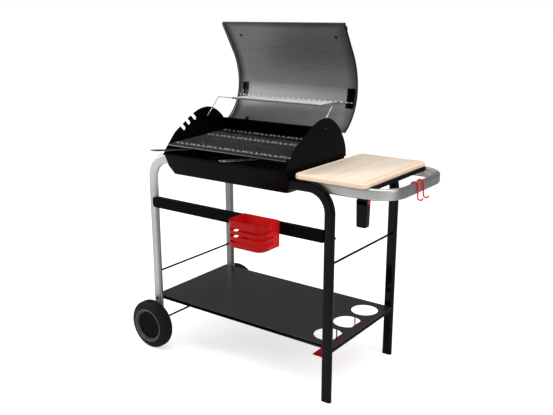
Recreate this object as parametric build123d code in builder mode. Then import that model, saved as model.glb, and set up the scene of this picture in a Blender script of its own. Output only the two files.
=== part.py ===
from build123d import *
import os
from math import cos, hypot, radians, sin

os.makedirs("parts", exist_ok=True)

# A charcoal trolley barbecue: a bent-tube trolley on two wheels carries a pressed firebox with a
# hinged lid, a warming rack worked by the lid, a cutting board, a wire basket and two S-hooks.
# Millimetres, +Z up, +X towards the table end, wheels at -X, open lid at +Y.
# All places below are given from the middle of the trolley's four legs, on the floor.

# ---------------------------------------------------------------- driving dimensions
WIRE_FIT = 0.3          # clearance round bent wires and soft or curved pieces
RUN_FIT = 0.05          # radial clearance of pins, shafts and screws in their holes

# trolley tubes (flat-oval)
LEG_X = 410.0
LEG_Y = 232.0
TUBE_LONG = 40.0
TUBE_SHORT = 20.0
TUBE_WALL = 1.5
BORE_LONG = TUBE_LONG - 2 * TUBE_WALL
BORE_SHORT = TUBE_SHORT - 2 * TUBE_WALL
BEND_R = 85.0
RIGHT_ARCH_Z = 777.0
LEFT_ARCH_Z = 796.0
LEG_IN = LEG_Y - TUBE_SHORT / 2     # inner flat faces of the legs
LEG_OUT = LEG_Y + TUBE_SHORT / 2    # outer flat faces of the legs
FOOT_PAD = 4.0
FOOT_PLUG = 26.0

# wheels and axle
WHEEL_R = 100.0
WHEEL_IN = 259.0                    # inner and outer ends of a wheel, from the middle
WHEEL_WIDE = 48.0
WHEEL_OUT = WHEEL_IN + WHEEL_WIDE
TREAD_OUT = WHEEL_OUT - 12.0
RIM_R = 70.0
BOSS_R = 15.0
AXLE_R = 4.0
LEFT_LEG_Z = 75.0
DISC_OUT = WHEEL_OUT - 10.0
DISC_THICK = 2.0
DISC_R = 61.0
CLIP_R, CLIP_THICK = 9.0, 2.0
CLIP_Y = WHEEL_IN + 29.0
AXLE_END = CLIP_Y + CLIP_THICK + 2.0
SPACER_R = 11.0

# side table and handle loop
HANDLE_X = 634.0
HANDLE_START = 290.0
HANDLE_BEND = 100.0
BOARD_X0, BOARD_X1 = 266.0, 544.0
BOARD_Y0, BOARD_Y1 = -242.0, 222.0
BOARD_THICK = 18.0
BOARD_CORNER = 24.0
BOARD_EDGE = 5.0
GROOVE_IN, GROOVE_WIDE, GROOVE_DEEP = 12.0, 8.0, 3.0
TABLE_Z = RIGHT_ARCH_Z + TUBE_SHORT

# firebox
BOX_X0, BOX_X1 = -320.0, 250.0
SHEET = 1.5
CHEEK_THICK = 2.0
RIM_Z = 822.0

# lid
HINGE_Y, HINGE_Z = 112.7, 904.9
LID_SHEET = 1.2
LID_X0, LID_X1 = -321.5, 252.0
LOW_ARC = (24.0, 1060.0, 184.0)      # centre and inner radius of the lid's lower curve
LOW_START = -58.0
HIGH_ARC = (-40.0, 1060.0, 248.0)    # centre and inner radius of the upper curve
HIGH_END = 31.4
FLAT_LEN = 132.0
HEM = 8.0
PIN_R = 1.5
KNUCKLE_R = 4.0

# warming rack linkage
BAIL_Y, BAIL_Z = -15.0, 938.0
RACK_Y, RACK_Z = 57.0, 1008.0
BAR_Y, BAR_Z = 189.0, 1008.0
BAIL_R = 2.0

# S-hooks on the handle loop
HOOK_R = 2.5
HOOK_LOOP = 13.5
HOOK_CURL = 9.5
HOOK_DROP = 36.5
CURL_TURN = 175.0

# small fixings
SCREW_R = 2.5
HEAD_R = 5.5
HEAD_THICK = 2.5

# ---------------------------------------------------------------- frame
HANDLE_MID = HANDLE_X - TUBE_SHORT / 2
HOOK_REACH = HANDLE_MID + HOOK_LOOP + HOOK_CURL + (HOOK_CURL + HOOK_R) * cos(radians(180 - CURL_TURN))
GRATE_TIP = -430.0
MID_X = (LEG_X + WHEEL_R - HOOK_REACH) / 2
MID_Y = -(GRATE_TIP + WHEEL_OUT) / 2
TOP = Plane(origin=(MID_X, MID_Y, 0), x_dir=(1, 0, 0), z_dir=(0, 0, 1))
SIDE = Plane(origin=(MID_X, MID_Y, 0), x_dir=(0, 1, 0), z_dir=(1, 0, 0))
FRONT = Plane(origin=(MID_X, MID_Y, 0), x_dir=(1, 0, 0), z_dir=(0, -1, 0))


# ---------------------------------------------------------------- shared shapes
def box(x0, x1, y0, y1, z0, z1):
    """A square-cornered block between two corners."""
    with BuildPart() as block:
        with BuildSketch(TOP.offset(z0)):
            with Locations(((x0 + x1) / 2, (y0 + y1) / 2)):
                Rectangle(x1 - x0, y1 - y0)
        extrude(amount=z1 - z0)
    return block.part


def plate(x0, x1, y0, y1, z0, z1, corner):
    """A flat plate with rounded corners."""
    with BuildPart() as block:
        with BuildSketch(TOP.offset(z0)):
            with Locations(((x0 + x1) / 2, (y0 + y1) / 2)):
                RectangleRounded(x1 - x0, y1 - y0, corner)
        extrude(amount=z1 - z0)
    return block.part


def prism(points, x0, x1):
    """A straight piece along X whose side outline is given as (y, z) points."""
    with BuildPart() as block:
        with BuildSketch(SIDE.offset(x0)):
            with BuildLine():
                Polyline(*points, close=True)
            make_face()
        extrude(amount=x1 - x0)
    return block.part


def band(arc, thick, start, end, x0, x1):
    """A curved strip along X lying on the inside of one of the lid's arcs."""
    y, z, radius = arc
    span = end - start
    with BuildPart() as block:
        with BuildSketch(SIDE.offset(x0)):
            with BuildLine():
                outer = CenterArc((y, z), radius, start, span)
                inner = CenterArc((y, z), radius - thick, start, span)
                Line(outer @ 0, inner @ 0)
                Line(outer @ 1, inner @ 1)
            make_face()
        extrude(amount=x1 - x0)
    return block.part


def rod(point, direction, length, radius):
    """A straight round rod that starts at a point."""
    x, y, z = point
    with BuildPart(Plane(origin=(MID_X + x, MID_Y + y, z), z_dir=direction)) as piece:
        Cylinder(radius, length, align=(Align.CENTER, Align.CENTER, Align.MIN))
    return piece.part


def x_rod(y, z, x0, x1, radius):
    return rod((x0, y, z), (1, 0, 0), x1 - x0, radius)


def y_rod(x, z, y0, y1, radius):
    return rod((x, y0, z), (0, 1, 0), y1 - y0, radius)


def wire(points, bend, radius):
    """A round wire bent through points, with the same bend radius at each corner."""
    placed = [(MID_X + x, MID_Y + y, z) for x, y, z in points]
    with BuildPart() as piece:
        with BuildLine() as path:
            FilletPolyline(*placed, radius=bend)
        with BuildSketch(Plane(origin=path.line @ 0, z_dir=path.line % 0)):
            Circle(radius)
        sweep(path=path.line)
    return piece.part


def screw(point, direction, shank, head=HEAD_R):
    """A pan-head screw seated at a point, its shank along the direction."""
    x, y, z = point
    with BuildPart(Plane(origin=(MID_X + x, MID_Y + y, z), z_dir=direction)) as piece:
        Cylinder(SCREW_R, shank, align=(Align.CENTER, Align.CENTER, Align.MIN))
        Cylinder(head, HEAD_THICK, align=(Align.CENTER, Align.CENTER, Align.MAX))
        fillet(piece.edges().sort_by(Axis(piece.part.position, direction))[0], HEAD_THICK * 0.6)
    return piece.part


def bores(spots, depth, radius=SCREW_R + RUN_FIT):
    """The holes for a list of (point, direction) fixings, as one cutting shape."""
    with BuildPart() as cut:
        for point, direction in spots:
            add(rod(point, direction, depth, radius))
    return cut.part


def screws(spots, shank, head=HEAD_R):
    with BuildPart() as group:
        for point, direction in spots:
            add(screw(point, direction, shank, head))
    return group.part


# ---------------------------------------------------------------- where the screws go
SHELF_SCREW_Z = 202.5
SHELF_SPOTS = [((sx * LEG_X, sy * LEG_OUT, SHELF_SCREW_Z), (0, -sy, 0))
               for sx in (-1, 1) for sy in (-1, 1)]
SHELF_SHANK = TUBE_SHORT + 6
RAIL_Z0, RAIL_Z1 = 592.0, 634.0
RAIL_PLATE = 2.0
RAIL_MID = (RAIL_Z0 + RAIL_Z1) / 2
RAIL_SPOTS = [((LEG_X + TUBE_LONG / 2, -LEG_Y, RAIL_MID), (-1, 0, 0))]
RAIL_SHANK = TUBE_LONG + 8
SUPPORT_THICK = 18.0
SUPPORT_HIGH = 38.0
LEFT_SUPPORT_Z0 = LEFT_ARCH_Z - SUPPORT_HIGH / 2
RIGHT_SUPPORT_Z0 = RIGHT_ARCH_Z - SUPPORT_HIGH / 2 - 1.0
SUPPORT_SCREW_UP = 30.0
CHEEK_IN = (BOX_X0 + SHEET + CHEEK_THICK, BOX_X1 - SHEET - CHEEK_THICK)
SUPPORT_SCREW_Y = (-190.0, 60.0)
BOX_SPOTS = [((CHEEK_IN[0], y, LEFT_ARCH_Z), (-1, 0, 0)) for y in SUPPORT_SCREW_Y]
BOX_SPOTS += [((CHEEK_IN[1], y, RIGHT_SUPPORT_Z0 + SUPPORT_SCREW_UP), (1, 0, 0)) for y in SUPPORT_SCREW_Y]
BOX_SHANK = 14.0
TABLE_SCREW_X = (300.0, 320.0)
TABLE_SPOTS = [((x, sy * (LEG_IN - TUBE_SHORT), RIGHT_ARCH_Z), (0, sy, 0))
               for x in TABLE_SCREW_X for sy in (-1, 1)]
TABLE_SHANK = TUBE_SHORT + 6
BAR_X = [(340.0, 366.0), (516.0, 548.0)]
BAR_Z0 = TABLE_Z - 12.0
BAR_STOP = 4.0
BAR_SPOTS = [((518.0, LEG_IN - TUBE_SHORT, RIGHT_ARCH_Z), (0, 1, 0))]
BAR_SHANK = TUBE_SHORT


# ---------------------------------------------------------------- trolley legs
def leg(side, y, foot_z, arch_z, end_x):
    """One flat-oval tube: a leg that bends over at the top and runs in to the firebox."""
    with BuildPart() as tube:
        with BuildLine(FRONT.offset(-y)):
            FilletPolyline((side * LEG_X, foot_z), (side * LEG_X, arch_z), (end_x, arch_z), radius=BEND_R)
        with BuildSketch(TOP.offset(foot_z)):
            with Locations((side * LEG_X, y)):
                SlotOverall(TUBE_LONG, TUBE_SHORT)
                SlotOverall(BORE_LONG, BORE_SHORT, mode=Mode.SUBTRACT)
        sweep()
    return tube.part


shelf_bores = bores(SHELF_SPOTS, SHELF_SHANK)
axle_bore = y_rod(-LEG_X, WHEEL_R, -LEG_OUT - 1, LEG_OUT + 1, AXLE_R + RUN_FIT)
table_bores = bores(TABLE_SPOTS, TABLE_SHANK)
rail_bores = bores(RAIL_SPOTS, RAIL_SHANK)
box_bores = bores(BOX_SPOTS, BOX_SHANK)

with BuildPart() as front_left_leg:
    add(leg(-1, -LEG_Y, LEFT_LEG_Z, LEFT_ARCH_Z, BOX_X0))
    for cut in (shelf_bores, axle_bore):
        add(cut, mode=Mode.SUBTRACT)

with BuildPart() as rear_left_leg:
    add(leg(-1, LEG_Y, LEFT_LEG_Z, LEFT_ARCH_Z, BOX_X0))
    for cut in (shelf_bores, axle_bore):
        add(cut, mode=Mode.SUBTRACT)

with BuildPart() as front_right_leg:
    add(leg(1, -LEG_Y, FOOT_PAD, RIGHT_ARCH_Z, BOX_X1))
    for cut in (shelf_bores, table_bores, rail_bores):
        add(cut, mode=Mode.SUBTRACT)

with BuildPart() as rear_right_leg:
    add(leg(1, LEG_Y, FOOT_PAD, RIGHT_ARCH_Z, BOX_X1))
    for cut in (shelf_bores, table_bores):
        add(cut, mode=Mode.SUBTRACT)

with BuildPart() as leg_feet:
    with BuildSketch(TOP):
        with Locations((LEG_X, -LEG_Y), (LEG_X, LEG_Y)):
            SlotOverall(TUBE_LONG, TUBE_SHORT)
    extrude(amount=FOOT_PAD)
    with BuildSketch(TOP.offset(FOOT_PAD)):
        with Locations((LEG_X, -LEG_Y), (LEG_X, LEG_Y)):
            SlotOverall(BORE_LONG - 2 * RUN_FIT, BORE_SHORT - 2 * RUN_FIT)
    extrude(amount=FOOT_PLUG)

# ---------------------------------------------------------------- rails and braces
with BuildPart() as left_side_rail:
    add(box(BOX_X0 - SUPPORT_THICK, BOX_X0, -LEG_IN, LEG_IN, LEFT_SUPPORT_Z0, LEFT_SUPPORT_Z0 + SUPPORT_HIGH))
    add(box_bores, mode=Mode.SUBTRACT)

with BuildPart() as right_side_rail:
    add(box(BOX_X1, BOX_X1 + SUPPORT_THICK, -LEG_IN, LEG_IN,
            RIGHT_SUPPORT_Z0, RIGHT_SUPPORT_Z0 + SUPPORT_HIGH))
    add(box_bores, mode=Mode.SUBTRACT)

RAIL_FRONT = -LEG_OUT - RAIL_PLATE
RAIL_DEEP = 16.0
RAIL_BACK = -LEG_OUT + RAIL_DEEP
RAIL_CORNER = 12.0
RAIL_END = LEG_X - TUBE_LONG / 2
with BuildPart() as front_rail:
    with BuildSketch(FRONT.offset(LEG_OUT)):
        with Locations((-LEG_X / 2 + RAIL_END / 2, RAIL_MID)):
            Rectangle(LEG_X + RAIL_END, RAIL_Z1 - RAIL_Z0)
    extrude(amount=RAIL_PLATE)
    fillet(front_rail.edges().filter_by(Axis.Y).group_by(Axis.X)[0], RAIL_CORNER)
    add(box(-RAIL_END, RAIL_END, -LEG_OUT, RAIL_BACK, RAIL_Z1 - RAIL_PLATE, RAIL_Z1))
    add(box(-RAIL_END, RAIL_END, -LEG_OUT, RAIL_BACK, RAIL_Z0, RAIL_Z0 + RAIL_PLATE))
    add(box(RAIL_END - RAIL_PLATE, RAIL_END, -LEG_OUT, RAIL_BACK, RAIL_Z0, RAIL_Z1))
    add(rail_bores, mode=Mode.SUBTRACT)

BRACE_R = 4.0
LEFT_BRACE_Z = 315.0
RIGHT_BRACE_Z = 513.0
with BuildPart() as left_brace:
    add(y_rod(-LEG_X, LEFT_BRACE_Z, -LEG_IN, LEG_IN, BRACE_R))

with BuildPart() as right_brace:
    add(y_rod(LEG_X, RIGHT_BRACE_Z, -LEG_IN, LEG_IN, BRACE_R))

# ---------------------------------------------------------------- shelf and bottle tray
SHELF_X = LEG_X + TUBE_LONG / 2
SHELF_TOP = 210.0
SHELF_DEEP = 15.0
HOLE_R = 52.5
HOLE_X = 354.0
HOLE_Y = (-137.0, -2.0, 133.0)
with BuildPart() as shelf:
    add(box(-SHELF_X, SHELF_X, -LEG_IN, LEG_IN, SHELF_TOP - SHELF_DEEP, SHELF_TOP))
    add(box(-SHELF_X + SHEET, SHELF_X - SHEET, -LEG_IN + SHEET, LEG_IN - SHEET,
            SHELF_TOP - SHELF_DEEP, SHELF_TOP - SHEET), mode=Mode.SUBTRACT)
    for y in HOLE_Y:
        add(rod((HOLE_X, y, SHELF_TOP - SHEET), (0, 0, 1), SHEET, HOLE_R), mode=Mode.SUBTRACT)
    add(shelf_bores, mode=Mode.SUBTRACT)

TRAY_X0, TRAY_X1 = 316.0, 370.0
TRAY_Y = 184.0
TRAY_Z = 138.0
TRAY_CORNER = 6.0
HANGER_R = 2.5
HANGER_X = 350.0
HANGER_Y = ((HOLE_Y[0] + HOLE_Y[1]) / 2, (HOLE_Y[1] + HOLE_Y[2]) / 2)
with BuildPart() as bottle_tray:
    add(plate(TRAY_X0, TRAY_X1, -TRAY_Y, TRAY_Y, TRAY_Z - SHEET, TRAY_Z, TRAY_CORNER))

with BuildPart() as tray_hangers:
    for y in HANGER_Y:
        add(rod((HANGER_X, y, TRAY_Z), (0, 0, 1), SHELF_TOP - SHEET - TRAY_Z, HANGER_R))

# ---------------------------------------------------------------- axle and wheels
with BuildPart() as axle:
    add(y_rod(-LEG_X, WHEEL_R, -AXLE_END, AXLE_END, AXLE_R))

with BuildPart() as axle_spacers:
    for side in (-1, 1):
        add(rod((-LEG_X, side * LEG_OUT, WHEEL_R), (0, side, 0), WHEEL_IN - LEG_OUT - WIRE_FIT, SPACER_R))
    add(y_rod(-LEG_X, WHEEL_R, -WHEEL_IN, WHEEL_IN, AXLE_R + RUN_FIT), mode=Mode.SUBTRACT)

with BuildPart() as axle_clips:
    for side in (-1, 1):
        add(rod((-LEG_X, side * CLIP_Y, WHEEL_R), (0, side, 0), CLIP_THICK, CLIP_R))
    add(y_rod(-LEG_X, WHEEL_R, -AXLE_END, AXLE_END, AXLE_R), mode=Mode.SUBTRACT)


def turned(side, profile):
    """A piece turned round the axle; its half outline is given as (radius, distance out) points."""
    plane = Plane(origin=(MID_X - LEG_X, MID_Y, WHEEL_R), x_dir=(1, 0, 0), z_dir=(0, 0, 1))
    with BuildPart() as piece:
        with BuildSketch(plane):
            with BuildLine():
                Polyline(*[(r, side * y) for r, y in profile], close=True)
            make_face()
        revolve(axis=Axis((MID_X - LEG_X, MID_Y, WHEEL_R), (0, 1, 0)))
    return piece.part


TYRE = [(RIM_R, WHEEL_IN + 2), (92, WHEEL_IN), (98, WHEEL_IN + 3), (WHEEL_R, WHEEL_IN + 9),
        (WHEEL_R, TREAD_OUT - 9), (98.5, TREAD_OUT - 3), (94, TREAD_OUT + 1), (84, TREAD_OUT + 6),
        (RIM_R, WHEEL_OUT - 1.5)]
HUB = [(AXLE_R + RUN_FIT, WHEEL_IN), (BOSS_R, WHEEL_IN), (BOSS_R, WHEEL_IN + 16), (60, WHEEL_IN + 20),
       (64, WHEEL_IN + 2), (RIM_R, WHEEL_IN + 2), (RIM_R, WHEEL_OUT - 1.5), (67, WHEEL_OUT),
       (64.5, WHEEL_OUT - 0.5), (DISC_R + 1, DISC_OUT), (DISC_R, DISC_OUT - DISC_THICK),
       (DISC_R - 3, DISC_OUT - DISC_THICK), (DISC_R - 5, WHEEL_IN + 25), (BOSS_R, WHEEL_IN + 22),
       (BOSS_R, CLIP_Y - WIRE_FIT), (AXLE_R + RUN_FIT, CLIP_Y - WIRE_FIT)]
CAP = [(0, DISC_OUT - DISC_THICK), (DISC_R - RUN_FIT, DISC_OUT - DISC_THICK),
       (DISC_R + 1 - RUN_FIT, DISC_OUT), (0, DISC_OUT)]

with BuildPart() as front_tyre:
    add(turned(-1, TYRE))
with BuildPart() as rear_tyre:
    add(turned(1, TYRE))
with BuildPart() as front_wheel_hub:
    add(turned(-1, HUB))
with BuildPart() as rear_wheel_hub:
    add(turned(1, HUB))
with BuildPart() as front_hub_disc:
    add(turned(-1, CAP))
with BuildPart() as rear_hub_disc:
    add(turned(1, CAP))

# ---------------------------------------------------------------- side table
ARM_Y = LEG_IN - TUBE_SHORT / 2


def loop_tube(long, short):
    """The handle's whole run as a solid bar of one flat-oval section."""
    with BuildPart() as bar:
        with BuildLine(TOP.offset(RIGHT_ARCH_Z)):
            FilletPolyline((HANDLE_START, -ARM_Y), (HANDLE_MID, -ARM_Y), (HANDLE_MID, ARM_Y),
                           (HANDLE_START, ARM_Y), radius=HANDLE_BEND)
        with BuildSketch(SIDE.offset(HANDLE_START)):
            with Locations((-ARM_Y, RIGHT_ARCH_Z)):
                SlotOverall(long, short, rotation=90)
        sweep()
    return bar.part


with BuildPart() as side_handle:
    add(loop_tube(TUBE_LONG, TUBE_SHORT))
    add(loop_tube(BORE_LONG, BORE_SHORT), mode=Mode.SUBTRACT)
    add(table_bores, mode=Mode.SUBTRACT)
    add(bores(BAR_SPOTS, BAR_SHANK), mode=Mode.SUBTRACT)

with BuildPart() as table_crossbars:
    for x0, x1 in BAR_X:
        add(box(x0, x1, BAR_STOP - ARM_Y, ARM_Y - BAR_STOP, BAR_Z0, TABLE_Z))
    add(loop_tube(TUBE_LONG + 2 * RUN_FIT, TUBE_SHORT + 2 * RUN_FIT), mode=Mode.SUBTRACT)


def board_plate(inset, z0, z1):
    """The board's outline drawn in by the inset, between two heights."""
    return plate(BOARD_X0 + inset, BOARD_X1 - inset, BOARD_Y0 + inset, BOARD_Y1 - inset, z0, z1,
                 BOARD_CORNER - inset)


BOARD_TOP = TABLE_Z + BOARD_THICK
with BuildPart() as cutting_board:
    add(board_plate(0, TABLE_Z, BOARD_TOP))
    fillet(cutting_board.faces().sort_by(Axis.Z)[-1].edges(), BOARD_EDGE)
    fillet(cutting_board.faces().sort_by(Axis.Z)[0].edges(), BOARD_EDGE)
    add(board_plate(GROOVE_IN, BOARD_TOP - GROOVE_DEEP, BOARD_TOP)
        - board_plate(GROOVE_IN + GROOVE_WIDE, BOARD_TOP - GROOVE_DEEP, BOARD_TOP), mode=Mode.SUBTRACT)

# ---------------------------------------------------------------- firebox
TUB_CORNER = 8.0
TUB = [(RIM_Z, BOX_X0, BOX_X1, -265.0, 135.0), (770.0, BOX_X0, BOX_X1, -242.0, 112.0),
       (738.0, BOX_X0 + 17.6, BOX_X1 - 17.6, -228.0, 98.0), (727.0, BOX_X0 + 40, BOX_X1 - 40, -184.0, 54.0),
       (720.0, BOX_X0 + 58, BOX_X1 - 58, -160.0, 30.0)]


def tub_block(inset, lift):
    """The firebox pan as a solid, drawn in by the inset, its floor lifted."""
    with BuildPart() as block:
        for z, x0, x1, y0, y1 in TUB:
            level = z + lift if z == TUB[-1][0] else z
            with BuildSketch(TOP.offset(level)):
                with Locations(((x0 + x1) / 2, (y0 + y1) / 2)):
                    RectangleRounded(x1 - x0 - 2 * inset, y1 - y0 - 2 * inset, TUB_CORNER - inset)
        loft(ruled=True)
    return block.part


RIM_Z0 = 816.0
RIM_OUT = 4.0
RIM_ROUND = 3.5
tub_top = TUB[0]
with BuildPart() as firebox:
    add(tub_block(0, 0))
    add(plate(BOX_X0 - RIM_OUT, BOX_X1 + RIM_OUT, tub_top[3] - RIM_OUT, tub_top[4] + RIM_OUT,
              RIM_Z0, RIM_Z, TUB_CORNER + RIM_OUT))
    fillet(firebox.faces().sort_by(Axis.Z)[-1].outer_wire().edges(), RIM_ROUND)
    add(tub_block(SHEET, SHEET), mode=Mode.SUBTRACT)
    add(box_bores, mode=Mode.SUBTRACT)

PANEL = [(137.0, RIM_Z), (137.0, 835.0), (131.0, 858.0), (119.0, 884.0), (106.0, 902.0), (92.0, 921.0)]
PANEL_IN = [(135.5, RIM_Z), (135.5, 834.8), (129.6, 857.5), (117.7, 883.2), (104.8, 901.1), (90.8, 920.1)]
with BuildPart() as rear_panel:
    add(prism(PANEL + PANEL_IN[::-1], CHEEK_IN[0], CHEEK_IN[1]))

CHEEK_TOP = [(-262.0, RIM_Z + 2), (-252.0, 838.0), (-227.0, 865.0), (-200.0, 893.0), (-156.0, 920.0),
             (-115.0, 945.0), (-85.0, 959.5), (-59.0, 969.0), (-29.0, 974.0), (0.0, 974.0),
             (30.0, 966.0), (58.0, 951.0), (79.0, 935.0), (92.0, 921.0)]
CHEEK_LOW = [(137.0, RIM_Z + RUN_FIT), (109.0, RIM_Z + RUN_FIT), (109.0, 819.0), (90.0, 778.0),
             (-220.0, 778.0), (-239.0, 819.0), (-239.0, RIM_Z + RUN_FIT), (-262.0, RIM_Z + RUN_FIT)]


def cheek(x0, x1):
    """One end plate of the firebox, standing inside the pan's end and up to the lid's curve."""
    with BuildPart() as plate_part:
        with BuildSketch(SIDE.offset(x0)):
            with BuildLine():
                Spline(*CHEEK_TOP)
                Polyline(CHEEK_TOP[-1], *PANEL[::-1][1:-1], *CHEEK_LOW, CHEEK_TOP[0])
            make_face()
        extrude(amount=x1 - x0)
    return plate_part.part


pivot_bores = x_rod(BAIL_Y, BAIL_Z, BOX_X0 - 1, BOX_X1 + 1, BAIL_R + WIRE_FIT)
NOTCHES = [(-147.0, 904.0), (-119.0, 922.0), (-84.0, 937.0)]
NOTCH_WIDE = 15.0
NOTCH_LONG = 44.0
NOTCH_LEAN = 136.0
with BuildPart() as left_cheek:
    add(cheek(BOX_X0 + SHEET, CHEEK_IN[0]))
    add(pivot_bores, mode=Mode.SUBTRACT)
    add(box_bores, mode=Mode.SUBTRACT)
    with BuildSketch(SIDE.offset(BOX_X0)):
        for y, z in NOTCHES:
            half = (NOTCH_LONG - NOTCH_WIDE) / 2
            with Locations((y + half * cos(radians(NOTCH_LEAN)), z + half * sin(radians(NOTCH_LEAN)))):
                SlotOverall(NOTCH_LONG, NOTCH_WIDE, rotation=NOTCH_LEAN)
    extrude(amount=SHEET + CHEEK_THICK + 1, mode=Mode.SUBTRACT)

with BuildPart() as right_cheek:
    add(cheek(CHEEK_IN[1], BOX_X1 - SHEET))
    add(pivot_bores, mode=Mode.SUBTRACT)
    add(box_bores, mode=Mode.SUBTRACT)

# the cooking grate lies a little lower at its front edge, on two sloping ledges
GRATE_FRONT_Z, GRATE_REAR_Z = 856.0, 871.0
GRATE_BARS = (-242.0, -200.0, -20.0, 85.0)
GRATE_BAR_R = 2.5
GRATE_WIRE_R = 1.5
GRATE_SINK = 0.3
GRATE_RISE = (GRATE_REAR_Z - GRATE_FRONT_Z) / (GRATE_BARS[-1] - GRATE_BARS[0])
BAR_BELOW = GRATE_WIRE_R + GRATE_BAR_R - GRATE_SINK
LEDGE_SHEET = 2.0
LEDGE_WIDE = 16.0
LEDGE_DROP = 14.0
LEDGE_Y0, LEDGE_Y1 = -224.0, 100.0


def grate_z(y):
    """Height of the grate wires' middle at a place along its slope."""
    return GRATE_FRONT_Z + GRATE_RISE * (y - GRATE_BARS[0])


def ledge_strip(x0, x1, drop):
    """A strip under the grate's bars that follows their slope."""
    top = [(y, grate_z(y) - BAR_BELOW - GRATE_BAR_R - RUN_FIT) for y in (LEDGE_Y0, LEDGE_Y1)]
    return prism(top + [(y, z - drop) for y, z in top[::-1]], x0, x1)


with BuildPart() as grate_ledges:
    add(ledge_strip(CHEEK_IN[0], CHEEK_IN[0] + LEDGE_WIDE, LEDGE_SHEET))
    add(ledge_strip(CHEEK_IN[0], CHEEK_IN[0] + LEDGE_SHEET, LEDGE_DROP))
    add(ledge_strip(CHEEK_IN[1] - LEDGE_WIDE, CHEEK_IN[1], LEDGE_SHEET))
    add(ledge_strip(CHEEK_IN[1] - LEDGE_SHEET, CHEEK_IN[1], LEDGE_DROP))

# ---------------------------------------------------------------- grates
GRATE_X0, GRATE_X1 = BOX_X0 + 10.0, BOX_X1 - 10.0
GRATE_PITCH = 12.0
GRATE_EDGE = 5.0
wire_count = int((GRATE_X1 - GRATE_X0 - 2 * GRATE_EDGE) / GRATE_PITCH) + 1
wire_start = (GRATE_X0 + GRATE_X1 - (wire_count - 1) * GRATE_PITCH) / 2
wire_y0, wire_y1 = GRATE_BARS[0] - 1, GRATE_BARS[-1] + 1
wire_long = hypot(wire_y1 - wire_y0, grate_z(wire_y1) - grate_z(wire_y0))
with BuildPart() as cooking_grate:
    for y in GRATE_BARS:
        add(x_rod(y, grate_z(y) - BAR_BELOW, GRATE_X0, GRATE_X1, GRATE_BAR_R))
    for i in range(wire_count):
        add(rod((wire_start + i * GRATE_PITCH, wire_y0, grate_z(wire_y0)), (0, 1, GRATE_RISE), wire_long,
                GRATE_WIRE_R))

LOOP_X = (-210.0, 108.0)
LOOP_WIDE = 25.0
LOOP_R = 2.0
LOOP_RISE = 23.0
LOOP_BEND = 8.0
loop_drop = BAR_BELOW + GRATE_BAR_R + LOOP_R
loop_back, loop_front = GRATE_BARS[1] + 6, GRATE_BARS[0] - 20
loop_end = GRATE_TIP + LOOP_R
with BuildPart() as grate_handles:
    for x in LOOP_X:
        left, right = x - LOOP_WIDE / 2, x + LOOP_WIDE / 2
        back_z, front_z = grate_z(loop_back) - loop_drop, grate_z(loop_front) - loop_drop
        end_z = front_z + LOOP_RISE
        add(wire([(left, loop_back, back_z), (left, loop_front, front_z), (left, loop_end, end_z),
                  (right, loop_end, end_z), (right, loop_front, front_z), (right, loop_back, back_z)],
                 LOOP_BEND, LOOP_R))

COAL_Z = 760.0
COAL_BAR_R = 3.0
COAL_WIRE_R = 2.0
COAL_SINK = 0.4
COAL_BARS = (-140.0, 10.0)
COAL_X0, COAL_X1 = BOX_X0 + 30.0, BOX_X1 - 30.0
COAL_Y0, COAL_Y1 = -205.0, 75.0
COAL_WIRES = 17
COAL_EDGE = 6.0
COAL_PITCH = (COAL_X1 - COAL_X0 - 2 * COAL_EDGE) / (COAL_WIRES - 1)
COAL_FOOT_IN = 80.0
FLOOR_Z = TUB[-1][0] + SHEET
with BuildPart() as charcoal_grate:
    for y in COAL_BARS:
        add(x_rod(y, COAL_Z, COAL_X0, COAL_X1, COAL_BAR_R))
        for x in (BOX_X0 + COAL_FOOT_IN, BOX_X1 - COAL_FOOT_IN):
            add(rod((x, y, FLOOR_Z), (0, 0, 1), COAL_Z - FLOOR_Z, COAL_BAR_R))
    for i in range(COAL_WIRES):
        add(y_rod(COAL_X0 + COAL_EDGE + i * COAL_PITCH, COAL_Z + COAL_BAR_R + COAL_WIRE_R - COAL_SINK,
                  COAL_Y0, COAL_Y1, COAL_WIRE_R))

# ---------------------------------------------------------------- lid
low_y, low_z, low_r = LOW_ARC
high_y, high_z, high_r = HIGH_ARC
out_y, out_z = cos(radians(HIGH_END)), sin(radians(HIGH_END))
flat_y, flat_z = high_y + high_r * out_y, high_z + high_r * out_z


def on_flat(along, out):
    """A point on the lid's flat top part: along the sheet, and out from its inner face."""
    return (flat_y - out_z * along + out_y * out, flat_z + out_y * along + out_z * out)


def lid_skin(inner, outer, x0, x1):
    """The lid's whole curve as a skin between two distances out from its inner face."""
    with BuildPart() as skin:
        with BuildSketch(SIDE.offset(x0)):
            with BuildLine():
                a = CenterArc((low_y, low_z), low_r + inner, LOW_START, -LOW_START)
                b = CenterArc((high_y, high_z), high_r + inner, 0, HIGH_END)
                c = Line(b @ 1, on_flat(FLAT_LEN, inner))
                d = CenterArc((low_y, low_z), low_r + outer, LOW_START, -LOW_START)
                e = CenterArc((high_y, high_z), high_r + outer, 0, HIGH_END)
                f = Line(e @ 1, on_flat(FLAT_LEN, outer))
                Line(a @ 0, d @ 0)
                Line(c @ 1, f @ 1)
            make_face()
        extrude(amount=x1 - x0)
    return skin.part


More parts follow.
